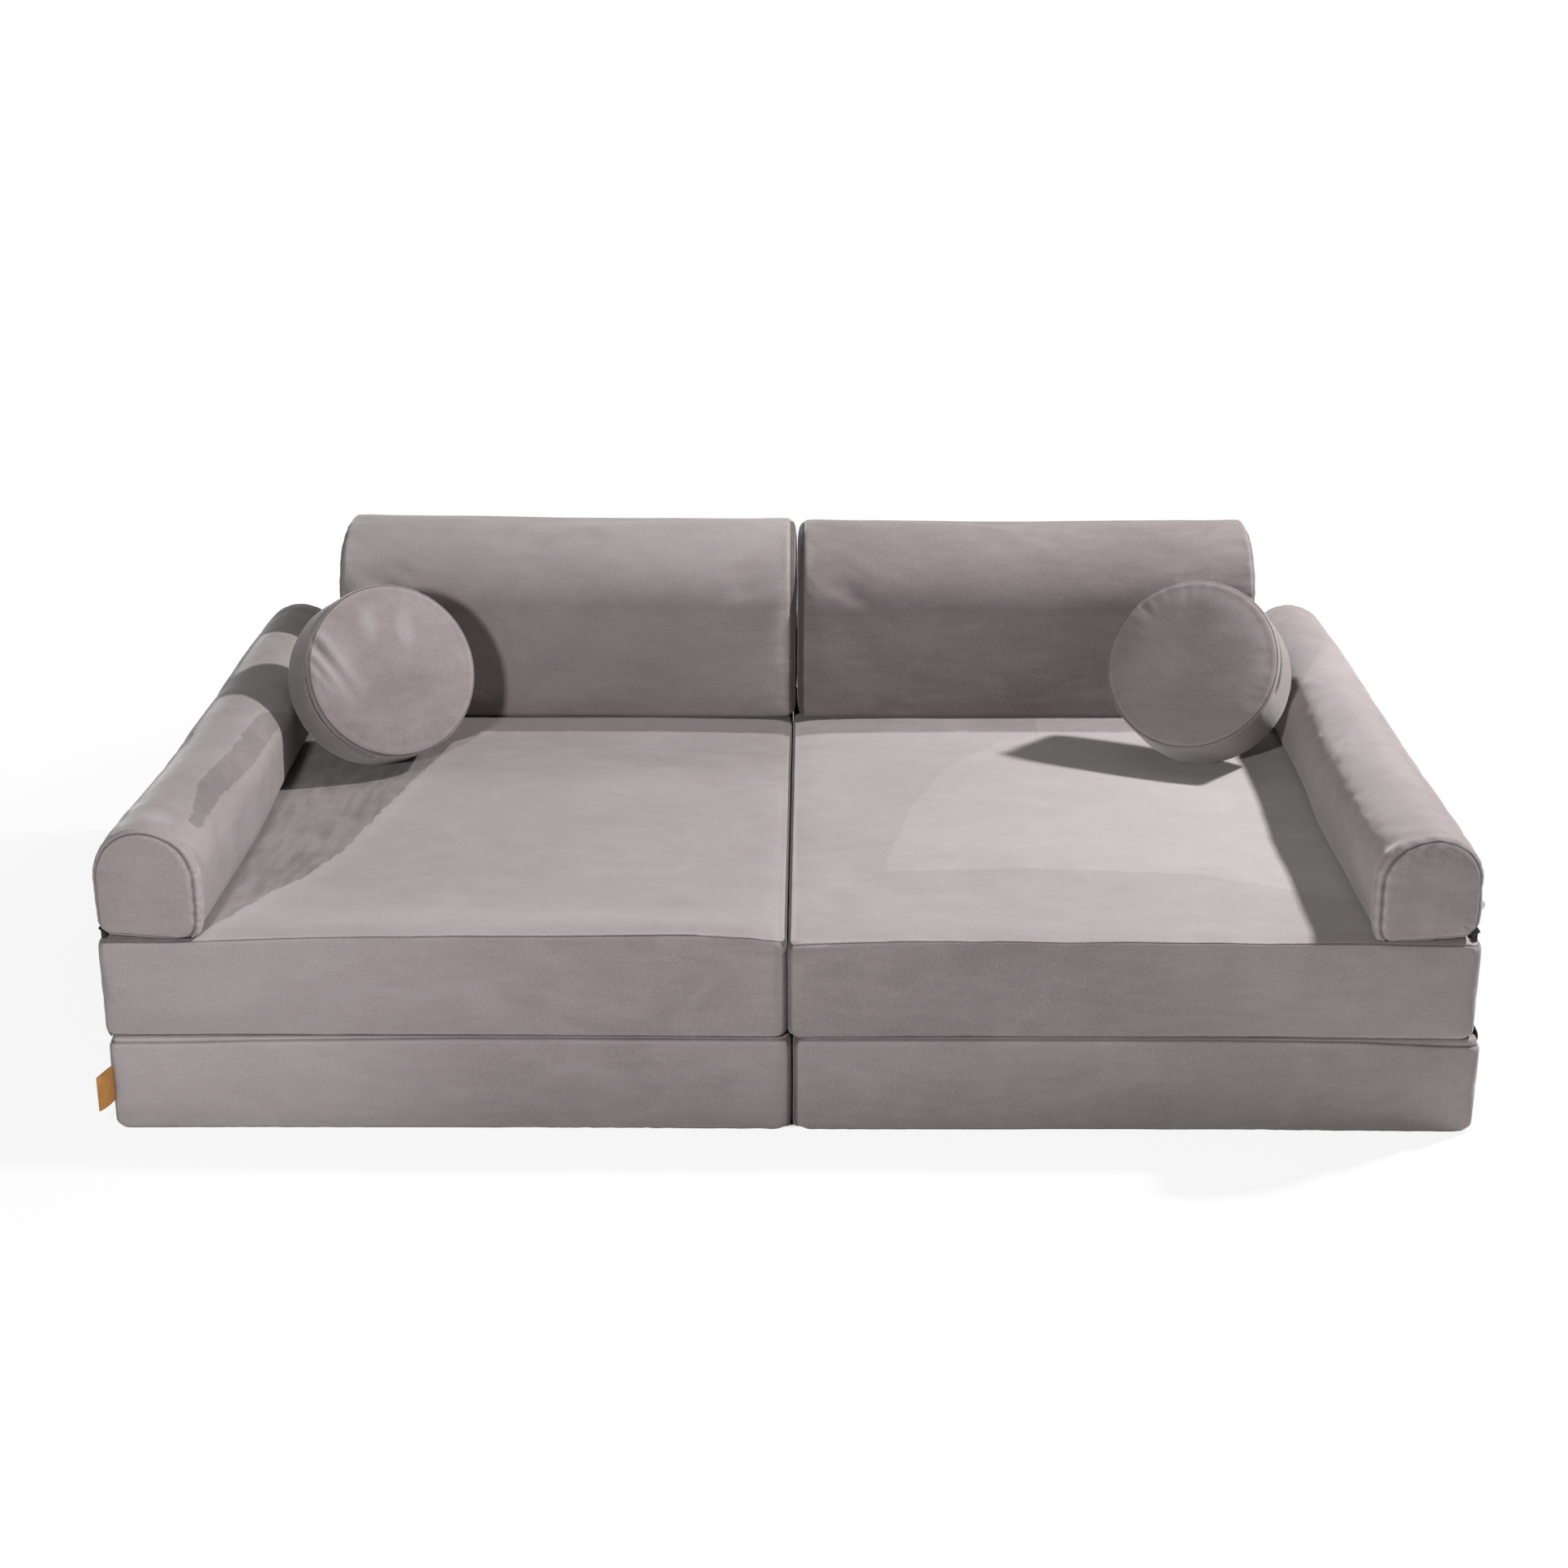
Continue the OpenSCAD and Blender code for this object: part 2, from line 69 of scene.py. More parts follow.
def linked(name, data):
    thing = bpy.data.objects.new(name, data)
    bpy.context.scene.collection.objects.link(thing)
    return thing


# Camera, fitted to the photograph

PHOTO_PX = 1932
FOCAL_PX = 3130.5
SENSOR = 36.0
CAMERA_AT = (0.0274, -3.1916, 1.4019)
CAMERA_YAW, CAMERA_PITCH, CAMERA_ROLL = 0.655, -19.729, -0.113


def make_camera():
    data = bpy.data.cameras.new("camera")
    data.sensor_width = SENSOR
    data.lens = FOCAL_PX / PHOTO_PX * SENSOR
    data.clip_end = 200
    camera = linked("camera", data)
    camera.matrix_world = (
        Matrix.Translation(CAMERA_AT)
        @ Matrix.Rotation(math.radians(CAMERA_YAW), 4, "Z")
        @ Matrix.Rotation(math.radians(90 + CAMERA_PITCH), 4, "X")
        @ Matrix.Rotation(math.radians(CAMERA_ROLL), 4, "Z")
    )
    bpy.context.scene.camera = camera


make_camera()


# Materials

class Nodes:
    """The node tree of a new material, or of the world, with short calls to add and join nodes."""

    def __init__(self, name, kinds=bpy.data.materials, shader="Principled BSDF"):
        self.owner = kinds.new(name)
        self.owner.use_nodes = True
        self.tree = self.owner.node_tree
        self.shader = self.tree.nodes[shader]
        self.coords = self.add("TexCoord").outputs["Object"]

    def add(self, kind, inputs=None, **settings):
        node = self.tree.nodes.new("ShaderNode" + kind)
        for key, value in settings.items():
            setattr(node, key, value)
        for key, value in (inputs or {}).items():
            self.put(value, node.inputs[key])
        return node

    def put(self, source, socket):
        if isinstance(source, bpy.types.NodeSocket):
            self.tree.links.new(source, socket)
        else:
            socket.default_value = source

    def attribute(self, name):
        return self.add("Attribute", attribute_name=name).outputs["Fac"]

    def stretched(self, scale, turn=(0, 0, 0)):
        turn = [math.radians(a) for a in turn]
        node = self.add("Mapping", {"Vector": self.coords, "Scale": scale, "Rotation": turn})
        return node.outputs["Vector"]

    def noise(self, scale, detail=2, distortion=0, vector=None):
        inputs = {"Vector": vector or self.coords, "Scale": scale, "Detail": detail}
        return self.add("TexNoise", inputs | {"Distortion": distortion}).outputs["Fac"]

    def wave(self, scale, vector, distortion=0):
        inputs = {"Vector": vector, "Scale": scale, "Distortion": distortion}
        return self.add("TexWave", inputs).outputs["Fac"]

    def math(self, operation, a, b=0.0):
        return self.add("Math", {0: a, 1: b}, operation=operation).outputs[0]

    def span(self, value, low, high, to_low=0.0, to_high=1.0):
        inputs = {"Value": value, "From Min": low, "From Max": high, "To Min": to_low, "To Max": to_high}
        return self.add("MapRange", inputs, interpolation_type="SMOOTHSTEP").outputs["Result"]

    def ramp(self, value, *stops):
        node = self.add("ValToRGB", {"Fac": value})
        points = node.color_ramp.elements
        while len(points) < len(stops):
            points.new(0.5)
        for point, (place, colour) in zip(points, stops):
            point.position = place
            point.color = (*colour, 1)
        return node.outputs["Color"]

    def scaled(self, colour, factor):
        grey = self.add("CombineColor", dict.fromkeys(("Red", "Green", "Blue"), factor))
        inputs = {"Factor": 1, "A": colour, "B": grey.outputs["Color"]}
        return self.add("Mix", inputs, data_type="RGBA", blend_type="MULTIPLY").outputs["Result"]

    def bump(self, *layers):
        """Layers are (height, strength, depth in metres), from the coarsest to the finest."""
        below = {}
        for height, strength, depth in layers:
            node = self.add("Bump", {"Height": height, "Strength": strength, "Distance": depth} | below)
            below = {"Normal": node.outputs["Normal"]}
        self.put(below["Normal"], self.shader.inputs["Normal"])

    def finish(self, **sockets):
        for key, value in sockets.items():
            self.put(value, self.shader.inputs[key.replace("_", " ")])
        return self.owner

    def seen_directly(self):
        """1 for what the camera sees, also in a mirror or through glass."""
        rays = self.add("LightPath").outputs
        seen = self.math("MAXIMUM", rays["Is Camera Ray"], rays["Is Glossy Ray"])
        return self.math("MAXIMUM", seen, rays["Is Transmission Ray"])


PILE_TONE = 0.245
BORDER_WANDER, BORDER_SOFT = 10, 0.8  # of a brushed part, and of the painted shadow of the left arm, in millimetres


def velvet_material():
    """Short-pile velvet: brushed patches, streaks along the pile and a soft sheen at its edges.

    The layers add up to how light the pile lies, with the painted highlights, painted shade and painted
    shadows that Dressing writes into its three attributes."""
    n = Nodes("velvet")
    pile_and_painted_light, depth, tone = (n.attribute(key) for key in ("nap", "brush_and_shadow_depth", "brush_and_shadow_tone"))
    pile = PILE_TONE
    streaks = n.span(n.noise(90, 4, 0.5, n.stretched((0.2, 0.45, 1), (0, 4, 6))), 0.30, 0.72)
    wander = n.math("MULTIPLY", n.math("SUBTRACT", n.noise(60, 4, 0.6), 0.5), BORDER_WANDER)
    inside = n.span(n.math("ADD", depth, wander), -BORDER_SOFT, BORDER_SOFT)
    # The crisp parts: pile brushed the other way, and a painted shadow of the left arm on its seat
    brushed = n.math("MULTIPLY", inside, tone)
    # The nap layer holds painted highlights and painted shade as well as the pile's own tone
    for layer, weight in (
        (n.span(n.noise(2.6, 3, 0.6), 0.35, 0.68), 0.09),
        (n.span(n.noise(17, 4, 1.2, n.stretched((0.6, 0.7, 1), (0, 8, 20))), 0.42, 0.66), 0.055),
        (streaks, 0.05), (n.noise(420, 3, 0.3), 0.26), (pile_and_painted_light, 0.4), (brushed, 0.4),
    ):
        pile = n.math("ADD", n.math("MULTIPLY", layer, weight), pile)
    grain = n.noise(1500, 2)
    colour = n.ramp(
        pile, (0.0, (0.100, 0.084, 0.082)), (0.28, (0.205, 0.177, 0.174)), (0.5, (0.287, 0.251, 0.249)),
        (1.0, (0.430, 0.394, 0.400))
    )
    colour = n.scaled(colour, n.span(grain, 0.25, 0.75, 0.84, 1.12))
    dapple, weave = n.noise(38, 3, 0.8), n.noise(420, 3, 0.3)
    n.bump((dapple, 0.08, 0.004), (weave, 0.22, 0.001), (grain, 0.35, 0.0004))
    return n.finish(
        Base_Color=colour, Roughness=n.span(pile, 0, 1, 0.98, 0.78), Specular_IOR_Level=0.06,
        Sheen_Weight=0.42, Sheen_Roughness=0.42, Sheen_Tint=(0.94, 0.91, 0.93, 1),
    )


def foam_material():
    n = Nodes("foam")
    cells = n.add("TexVoronoi", {"Vector": n.coords, "Scale": 620})
    tone = n.noise(9, 3)
    colour = n.ramp(tone, (0.3, (0.76, 0.71, 0.55)), (0.7, (0.84, 0.80, 0.67)))
    n.bump((cells.outputs["Distance"], 0.5, 0.0008))
    return n.finish(Base_Color=colour, Roughness=n.span(tone, 0, 1, 0.85, 1))


def zip_material():
    """Woven tape, with the turns of a nylon coil on the bar in its middle."""
    n = Nodes("zip")
    turns = n.wave(110, n.stretched((1, 1, 0)))
    weave = n.noise(1800, 2)
    colour = n.ramp(turns, (0.2, (0.010, 0.010, 0.011)), (0.8, (0.034, 0.033, 0.034)))
    n.bump((turns, 0.6, 0.0006), (weave, 0.3, 0.0003))
    return n.finish(Base_Color=colour, Roughness=n.span(turns, 0, 1, 0.75, 0.42))


def black_material(name, noise, stops, bump, roughness, metallic=0):
    """Satin metal or the pile of hook and loop, varied by one noise."""
    n = Nodes(name)
    wear = n.noise(*noise)
    n.bump((wear, *bump))
    colour, rough = n.ramp(wear, *stops), n.span(wear, *roughness)
    return n.finish(Base_Color=colour, Roughness=rough, Metallic=metallic)


def tag_material():
    """Woven tape with its ribs up and down the tag."""
    n = Nodes("tag")
    ribs = n.wave(330, n.stretched((1, 1, 0)), 0.4)
    wefts = n.wave(420, n.stretched((0, 0, 1)), 0.5)
    wear = n.noise(85, 4)
    colour = n.ramp(wear, (0.25, (0.47, 0.205, 0.040)), (0.75, (0.62, 0.285, 0.060)))
    colour = n.scaled(colour, n.span(n.math("MULTIPLY", ribs, wefts), 0, 1, 0.82, 1.12))
    n.bump((ribs, 0.5, 0.0003), (wefts, 0.4, 0.0002))
    return n.finish(Base_Color=colour, Roughness=n.span(wear, 0, 1, 0.9, 0.72), Sheen_Weight=0.15)


velvet = velvet_material()
slider = black_material(
    "slider", (240, 4), ((0.45, (0.016, 0.016, 0.017)), (0.75, (0.050, 0.049, 0.050))),
    (0.12, 0.0003), (0.3, 0.8, 0.34, 0.58), 0.6)
hooks = black_material(
    "hooks", (1300, 3), ((0.35, (0.008, 0.008, 0.009)), (0.7, (0.035, 0.034, 0.035))),
    (0.9, 0.0009), (0, 1, 0.95, 0.7))
for ending, material in (
    ("foam", foam_material()), ("zip", zip_material()), ("slider", slider),
    ("hook_tab", hooks), ("loop_strip", hooks),
):
    for name, node in frame["nodes"].items():
        if name.endswith("_" + ending):
            for place in node.material_slots:
                place.material = material


# Outlines. An outline is a closed run of arcs, with straight lines between them.

def on_arc(x, y, r, turn):
    return np.array([x + r * math.cos(turn), y + r * math.sin(turn)])


class Outline:
    """Points across a cushion, with the direction that leads straight out at each of them."""

    def __init__(self, arcs, draw=0):
        """arcs are (x, y, radius, first angle, last angle) in degrees, counter-clockwise, and draw is
        how far the sides between them are drawn in. A part is (start or centre, step along it, radius,
        first and last direction, draw)."""
        self.parts = []
        for (x, y, r, a, b), (x2, y2, r2, a2, _) in zip(arcs, arcs[1:] + arcs[:1]):
            a, b = math.radians(a), math.radians(b)
            start, end = on_arc(x, y, r, b), on_arc(x2, y2, r2, math.radians(a2))
            self.parts.append((np.array([x, y], float), np.zeros(2), r, a, b, 0))
            if lengths(end - start) > 1e-6:
                self.parts.append((start, end - start, 0, b, b, draw))
        self.lengths = [lengths(step) + r * (b - a) for _, step, r, a, b, _ in self.parts]
        self.starts = np.concatenate([[0], np.cumsum(self.lengths)])
        self.total = self.starts[-1]

    def along(self, part, share):
        return self.starts[part] + share * self.lengths[part]

    def place(self, knots):
        """Sets the points by their distance along the outline."""
        points, outs = [], []
        for s in knots:
            s = s % self.total
            k = min(int(np.searchsorted(self.starts, s, "right")) - 1, len(self.parts) - 1)
            t = (s - self.starts[k]) / self.lengths[k]
            base, step, r, a, b, draw = self.parts[k]
            out = on_arc(0, 0, 1, a + t * (b - a))
            points.append(base + t * step + (r - draw * 4 * t * (1 - t)) * out)
            outs.append(out)
        self.points, self.outs = np.array(points), np.array(outs)

    def at(self, inset):
        return self.points - self.outs * inset


NEAR_SEAM = (1.2, 2.4, 4.5, 8, 14, 22, 34)
SLOT_EDGES = (4.4, 4.6, 5.2, 6.5, 9)


def steps(a, b, size, graded=False, slot=None):
    """Distances from a to b, about size apart, and closer near both ends or a zip's slot."""
    edge = NEAR_SEAM[-1] if graded else 0
    low, high = a + edge, b - edge
    found = list(np.linspace(low, high, max(1, round((high - low) / size)) + 1))
    if graded:
        found += [a, *(a + d for d in NEAR_SEAM[:-1]), *(b - d for d in NEAR_SEAM[:-1]), b]
    if slot is not None:
        found = [v for v in found if abs(v - slot) > SLOT_EDGES[-1] + 1.5]
        found += [slot + side * d for d in SLOT_EDGES for side in (-1, 1)]
    return sorted(found)


def four_sides(outline, corners, size, slot=None, slot_side=None, graded=False):
    """Sets the outline's points so that opposite sides have equally many. corners are (part, share),
    and the first one lies before the outline's start."""
    marks = [outline.along(*corner) for corner in corners]
    ends = [marks[0] - outline.total, *marks[1:], marks[0]]
    runs = [steps(ends[k], ends[k + 1], size, graded, slot if k == slot_side else None)
            for k in range(4)]
    for k in (0, 1):
        more, fewer = sorted((k, k + 2), key=lambda i: -len(runs[i]))
        if len(runs[more]) != len(runs[fewer]):
            share = (np.array(runs[more]) - ends[more]) / (ends[more + 1] - ends[more])
            if slot_side == more:
                share = np.linspace(0, 1, len(share))
            runs[fewer] = list(ends[fewer] + share * (ends[fewer + 1] - ends[fewer]))
    outline.corner_index = np.concatenate([[0], np.cumsum([len(r) - 1 for r in runs])])[:4]
    outline.place([s for r in runs for s in r[:-1]])


# Covers. A cover is a band round the outline, with a panel sewn to each of its ends.

class Cover:
    """A closed skin in millimetres: outline across x and y, with the band along z."""

    def __init__(self, outline, band, rings, panel_low, panel_high):
        """band is (height, inset) from seam to seam, rings the insets of a panel's first rings, and
        panel_low(d) and panel_high(d) a panel's height at a distance d in from the outline."""
        self.points, self.faces = [], []
        self.outline = outline
        low = [self.ring(outline.at(d), panel_low(d)) for d in reversed(rings)]
        middle = [self.ring(outline.at(d), h) for h, d in band]
        high = [self.ring(outline.at(d), panel_high(d)) for d in rings]
        self.seams = [np.array(self.points)[r] for r in (middle[0], middle[-1])]
        run = low + middle + high
        for a, b in zip(run, run[1:]):
            self.faces += [list(f) for f in zip(a, a[1:] + a[:1], b[1:] + b[:1], b)]
        self.fill(run[0], panel_low)
        self.fill(run[-1], panel_high)

    def ring(self, points, height):
        first = len(self.points)
        heights = np.broadcast_to(height, len(points))
        self.points.extend([x, y, h] for (x, y), h in zip(points, heights))
        return list(range(first, len(self.points)))

    def inset_of(self, xy):
        """Distance in from the outline."""
        return lengths(xy[:, None, :] - self.outline.points[None, :, :]).min(axis=1)

    def fill(self, ring, panel):
        """Fills a ring with a grid drawn between its four sides."""
        n = len(ring)
        c = [*self.outline.corner_index, n]
        sides = [[ring[i % n] for i in range(c[k], c[k + 1] + 1)] for k in range(4)]
        bottom, right, top, left = sides[0], sides[1], sides[2][::-1], sides[3][::-1]
        at = np.array(self.points)[:, :2]

        def shares(side):
            run = np.concatenate([[0], np.cumsum(lengths(np.diff(at[side], axis=0)))])
            return run / run[-1]

        uu, vv = shares(bottom)[:, None, None], shares(right)[None, :, None]
        grid = (
            (1 - vv) * at[bottom][:, None] + vv * at[top][:, None]
            + (1 - uu) * at[left][None] + uu * at[right][None]
            - (1 - uu) * (1 - vv) * at[bottom[0]] - uu * (1 - vv) * at[bottom[-1]]
            - (1 - uu) * vv * at[top[0]] - uu * vv * at[top[-1]]
        )
        index = np.zeros(grid.shape[:2], int)
        index[:, 0], index[:, -1], index[0, :], index[-1, :] = bottom, top, left, right
        inner = grid[1:-1, 1:-1].reshape(-1, 2)
        new = self.ring(inner, panel(self.inset_of(inner)))
        index[1:-1, 1:-1] = np.array(new).reshape(grid.shape[0] - 2, -1)
        corners = index[:-1, :-1], index[1:, :-1], index[1:, 1:], index[:-1, 1:]
        self.faces += np.stack(corners, axis=-1).reshape(-1, 4).tolist()


def mesh_object(name, points, faces):
    """Object of a smooth mesh. If it is closed, its faces look out."""
    mesh = bpy.data.meshes.new(name)
    mesh.from_pydata(points, [], faces)
    work = bmesh.new()
    work.from_mesh(mesh)
    bmesh.ops.recalc_face_normals(work, faces=work.faces)
    work.to_mesh(mesh)
    work.free()
    mesh.shade_smooth()
    return linked(name, mesh)


def triples(items, key):
    """What foreach_get gives for each item, as rows of three."""
    values = np.empty(len(items) * 3)
    items.foreach_get(key, values)
    return values.reshape(-1, 3)


def set_points(thing, co):
    thing.data.vertices.foreach_set("co", co.ravel())
    thing.data.update()


CLOTH_FRAMES = 16
CLOTH = {
    "quality": 6, "mass": 0.25, "tension_stiffness": 18, "compression_stiffness": 18,
    "shear_stiffness": 8, "bending_stiffness": 0.8, "use_pressure": True,
    "uniform_pressure_force": 4, "shrink_min": -0.006, "vertex_group_mass": "held",
}


def puff(thing, free, cap):
    """Lets the cover swell between its seams as cloth. free is 1 where a point may move, and cap
    how far out it may go. The foam inside lets nothing sink by more than half of that."""
    start, out = triples(thing.data.vertices, "co"), triples(thing.data.vertex_normals, "vector")
    group = thing.vertex_groups.new(name="held")
    for i in np.flatnonzero(free < 0.99):
        group.add([int(i)], float(1 - free[i]), "REPLACE")
    cloth = thing.modifiers.new("cloth", "CLOTH")
    for key, value in CLOTH.items():
        setattr(cloth.settings, key, value)
    cloth.settings.effector_weights.gravity = 0
    cloth.point_cache.frame_start = 1
    cloth.point_cache.frame_end = CLOTH_FRAMES
    for frame_no in range(1, CLOTH_FRAMES + 1):
        bpy.context.scene.frame_set(frame_no)
    swollen = thing.evaluated_get(bpy.context.evaluated_depsgraph_get())
    end = triples(swollen.to_mesh().vertices, "co")
    swollen.to_mesh_clear()
    thing.modifiers.clear()
    thing.vertex_groups.clear()
    shift = end - start
    rise = (shift * out).sum(axis=1)
    slide = shift - rise[:, None] * out
    limit = np.maximum(cap * free, 1e-9)
    rise = np.clip(limit * np.tanh(rise / limit), -limit / 2, limit)
    slide *= (limit * 0.3 / np.maximum(lengths(slide), limit * 0.3))[:, None]
    set_points(thing, start + rise[:, None] * out + slide)
    bpy.context.scene.frame_set(1)


def field(points, size, seed):
    """Smooth random values from -1 to 1 over features of the given size."""
    shift = Vector((seed * 3.17, seed * 7.31, seed * 1.93))
    return np.array([noise.noise(Vector(p) / size + shift) for p in points])


def ridged(points, size, seed):
    """Values from 0 to 1 with narrow ridges."""
    return np.maximum(0, 1 - 3.2 * np.abs(field(points, size, seed)))


def seam_reach(points, seams):
    """Distance of each point from the nearest seam, and that seam's point."""
    quarters = (0, 0.25, 0.5, 0.75)
    dense = np.concatenate([(1 - t) * s + t * np.roll(s, -1, axis=0) for s in seams for t in quarters])
    tree = kdtree.KDTree(len(dense))
    for i, p in enumerate(dense):
        tree.insert(p, i)
    tree.balance()
    found = [tree.find(p) for p in points]
    return np.array([f[2] for f in found]), dense[[f[1] for f in found]]


def bell(d, width):
    return np.exp(-((d / width) ** 2))


def ease(v, low, high):
    """Rises from 0 at low to 1 at high, level at both."""
    t = np.clip((v - low) / (high - low), 0, 1)
    return t * t * (3 - 2 * t)


UNBRUSHED = -60.0


class Dressing:
    """The finer shape of a cover, worked into its subdivided mesh: seams, puckers and creases.

    Lengths are in metres and the mesh in the cushion's own place, before it is put on the sofa."""

    def __init__(self, thing, seams, seed):
        self.thing, self.seed = thing, seed
        self.points = triples(thing.data.vertices, "co")
        self.out = triples(thing.data.vertex_normals, "vector")
        self.off, self.seam_at = seam_reach(self.points, [s * MM for s in seams])
        self.rise, self.nap, self.tone, self.depth = np.zeros((4, len(self.points)))
        self.depth += UNBRUSHED

    def sew(self, depth=1.1, roll=0.3, pucker=0.9, reach=15):
        """Pulls the seams in, rolls the cloth up beside them and puckers it, with painted shade along
        each seam line and a painted highlight beside it.
        """
        off = self.off / MM
        self.rise -= depth * MM * bell(off, 1.25)
        self.rise += roll * MM * bell(off - 6.5, 4)
        gathers = ridged(self.seam_at, 0.026, self.seed + 1)
        gathers += 0.6 * ridged(self.seam_at, 0.011, self.seed + 2)
        calm = 0.25 + 0.75 * np.clip(0.5 + 1.6 * field(self.seam_at, 0.16, self.seed + 3), 0, 1)
        self.rise -= pucker * MM * gathers * calm * np.exp(-off / reach) * (1 - bell(off, 1.5))
        # Painted highlight beside the seam, stronger or weaker along it, and painted shade on the seam
        # line
        painted_highlight_strength = 0.6 + 0.8 * field(self.seam_at, 0.07, self.seed + 4)
        self.nap += 0.32 * painted_highlight_strength * bell(off - 3.3, 1.6) - 1.1 * bell(off, 1.25)

    def waves(self, size, height, small, low):
        """Soft waves of the cloth over the foam, and smaller and lower ones on them."""
        self.rise += height * MM * field(self.points, size, self.seed + 5)
        self.rise += low * MM * field(self.points, small, self.seed + 25)

    def dent(self, at, depth, width):
        """A hollow, all in millimetres, with painted shade in it."""
        off = lengths(self.points / MM - at)
        self.rise -= depth * MM * bell(off, width)
        # painted shade in the hollow
        self.nap -= 0.5 * bell(off, width * 0.6)

    def from_line(self, a, b):
        """Each point's place along the line from a to b, and its distance from it in millimetres."""
        a, b = np.array(a), np.array(b)
        d = b - a
        t = np.clip((self.points - a) @ d / (d @ d), 0, 1)
        return t, lengths(self.points - a - t[:, None] * d) / MM

    def crease(self, a, b, depth, width, lip=0.5):
        """A fold line from a to b with a soft lip on each side, fading towards b. The fold gets painted
        shade and the lips a painted highlight.
        """
        t, off = self.from_line(a, b)
        fade = np.sin(np.pi * (0.5 + t * 0.5))
        beside, within = bell(off - width * 1.7, width), bell(off, width)
        self.rise += MM * fade * depth * (lip * beside - within)
        # painted shade in the fold, painted highlight on the lips
        self.nap += fade * (0.35 * beside - 0.45 * within)

    def stroke(self, a, b, width, tone):
        """A narrow line from a to b: lighter or darker pile, thread, a painted highlight or painted
        shade.
        """
        self.nap += tone * bell(self.from_line(a, b)[1], width)

    def patch(self, at, size, tone):
        """Pile brushed lighter or darker in a patch. size is its half-width along each axis."""
        off = lengths((self.points - at) / size)
        edge = off + 0.35 * field(self.points, 0.05, self.seed + 9)
        self.nap += tone * np.clip(1.6 - 1.6 * edge, 0, 1)

    def brush(self, depth, tone):
        """A part with a crisp border: pile brushed the other way, and on the left seat a painted shadow
        of the arm. depth is how far each point lies inside the part, in millimetres."""
        self.tone = np.where(depth > self.depth, tone, self.tone)
        self.depth = np.maximum(self.depth, depth)

    def brush_band(self, path, half, tone):
        """Brushes a band along a path. half is its half-width in millimetres at each point."""
        for a, b, wide_a, wide_b in zip(path, path[1:], half, half[1:]):
            t, off = self.from_line(a, b)
            self.brush(wide_a + (wide_b - wide_a) * t - off, tone)

    def paint_gap_shade(self, side=1):
        """Paints shade on the inner end, which faces the other module, and takes the painted seam
        highlight off there.
        """
        facing = ease(-self.out[:, 0] * side, 0.35, 0.8)
        # painted shade in the gap between the modules
        self.nap -= facing * (1 + bell(self.off / MM - 3.3, 2))

    def apply(self, room):
        """room is how far out a point may go, so that it stays clear of its neighbours."""
        self.points += np.minimum(self.rise, room)[:, None] * self.out

    def slot(self, across, inside, out, floor, lips=(3, 1.1, 0.25, 0)):
        """Opens a zip's slot. across is each point's distance from its middle, inside how fully it is
        within the slot's length and floor the distance of its bottom along out, in millimetres."""
        lip = np.interp(np.abs(across), SLOT_EDGES[1:], lips) * inside * MM
        self.points -= lip[:, None] * out
        deep = (np.abs(across) < SLOT_EDGES[0] + 0.05) & (inside > 0.5)
        height = (self.points * out).sum(axis=1)
        self.points += np.where(deep, floor * MM - height, 0)[:, None] * out

    def write(self, tone):
        """Hands the shape, the pile and the painted light and shade to the mesh. tone is the whole
        cushion's own.
        """
        set_points(self.thing, self.points)
        layers = {"nap": self.nap + tone, "brush_and_shadow_depth": self.depth, "brush_and_shadow_tone": self.tone}
        for name, values in layers.items():
            layer = self.thing.data.attributes.new(name, "FLOAT", "POINT")
            layer.data.foreach_set("value", values.astype(np.float32))


def subdivide(thing):
    """Gives the object its mesh subdivided once."""
    thing.modifiers.new("smooth", "SUBSURF").levels = 1
    smooth = thing.evaluated_get(bpy.context.evaluated_depsgraph_get())
    mesh = bpy.data.meshes.new_from_object(smooth)
    thing.modifiers.clear()
    thing.data = mesh
    mesh.shade_smooth()


def begin(body, cover, held, fade, cap, seed, turned=(0, 1, 2)):
    """A cushion, swollen and ready to be dressed. turned says which of the cover's axes become x, y
    and z. Its cloth swells by up to cap millimetres, but for the seams, up to fade from them, and
    where held says so."""
    seams = [s[:, turned] for s in cover.seams]
    thing = mesh_object(f"{body}_cushion", np.array(cover.points)[:, turned] * MM, cover.faces)
    at = triples(thing.data.vertices, "co") / MM
    free = ease(seam_reach(at, seams)[0], 2, fade)
    puff(thing, np.where(held(at), 0, free), cap * MM)
    subdivide(thing)
    return Dressing(thing, seams, seed)


def put_on(work, tone, body, mirror=1, matrix=None):
    """Places a finished cushion and attaches it to its body, in place of its body's cover, which it
    hides.
    It stands in the middle of that cover's place, unless matrix says where."""
    thing = work.thing
    work.write(tone)
    if matrix is None:
        low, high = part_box(f"{body}_cover")
        x, y, _ = (low + high) / 2
        matrix = Matrix.Translation((x, y, low.z)) @ Matrix.Scale(mirror, 4, (1, 0, 0))
    thing.data.transform(matrix)
    if matrix.determinant() < 0:
        thing.data.flip_normals()
    thing.data.materials.clear()
    thing.data.materials.append(velvet)
    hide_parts(f"{body}_cover")
    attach(thing, body)


# Sizes of the covers, in millimetres, as in the part's source

CLEAR = 0.3
MODULE_W, MODULE_D = 800, 1000
SLAB_T, SEAT_CROWN, SLAB_CORNER, SLAB_DRAW = 120, 5, 12, 2.5
ARM_W, ARM_H, ARM_FOOT_R, ARM_END_IN, ARM_END_BULGE = 116, 127, 22, 6, 5
BACK_D, BACK_H, BACK_R, BACK_LEAN, BACK_CORNER = 185, 255, 105, 22, 8
ROUND_D, ROUND_T, ROUND_CROWN, ROUND_ZIP_IN, ROUND_ZIP_TURN = 238, 92, 7, 17, 200
SEAM_IN, SEAM_DROP, LAP_IN, WRAP = 2.2, 1.1, 8.5, 9
SLAB_ZIP_HALF, ARM_ZIP_HALF, ARM_ZIP_Z, BACK_ZIP_END, BACK_ZIP_Z = 300, 470, 25, 52, 30

# What the photograph shows beyond them, by side where the sides differ. A table holds places along
# x or y and the values there.

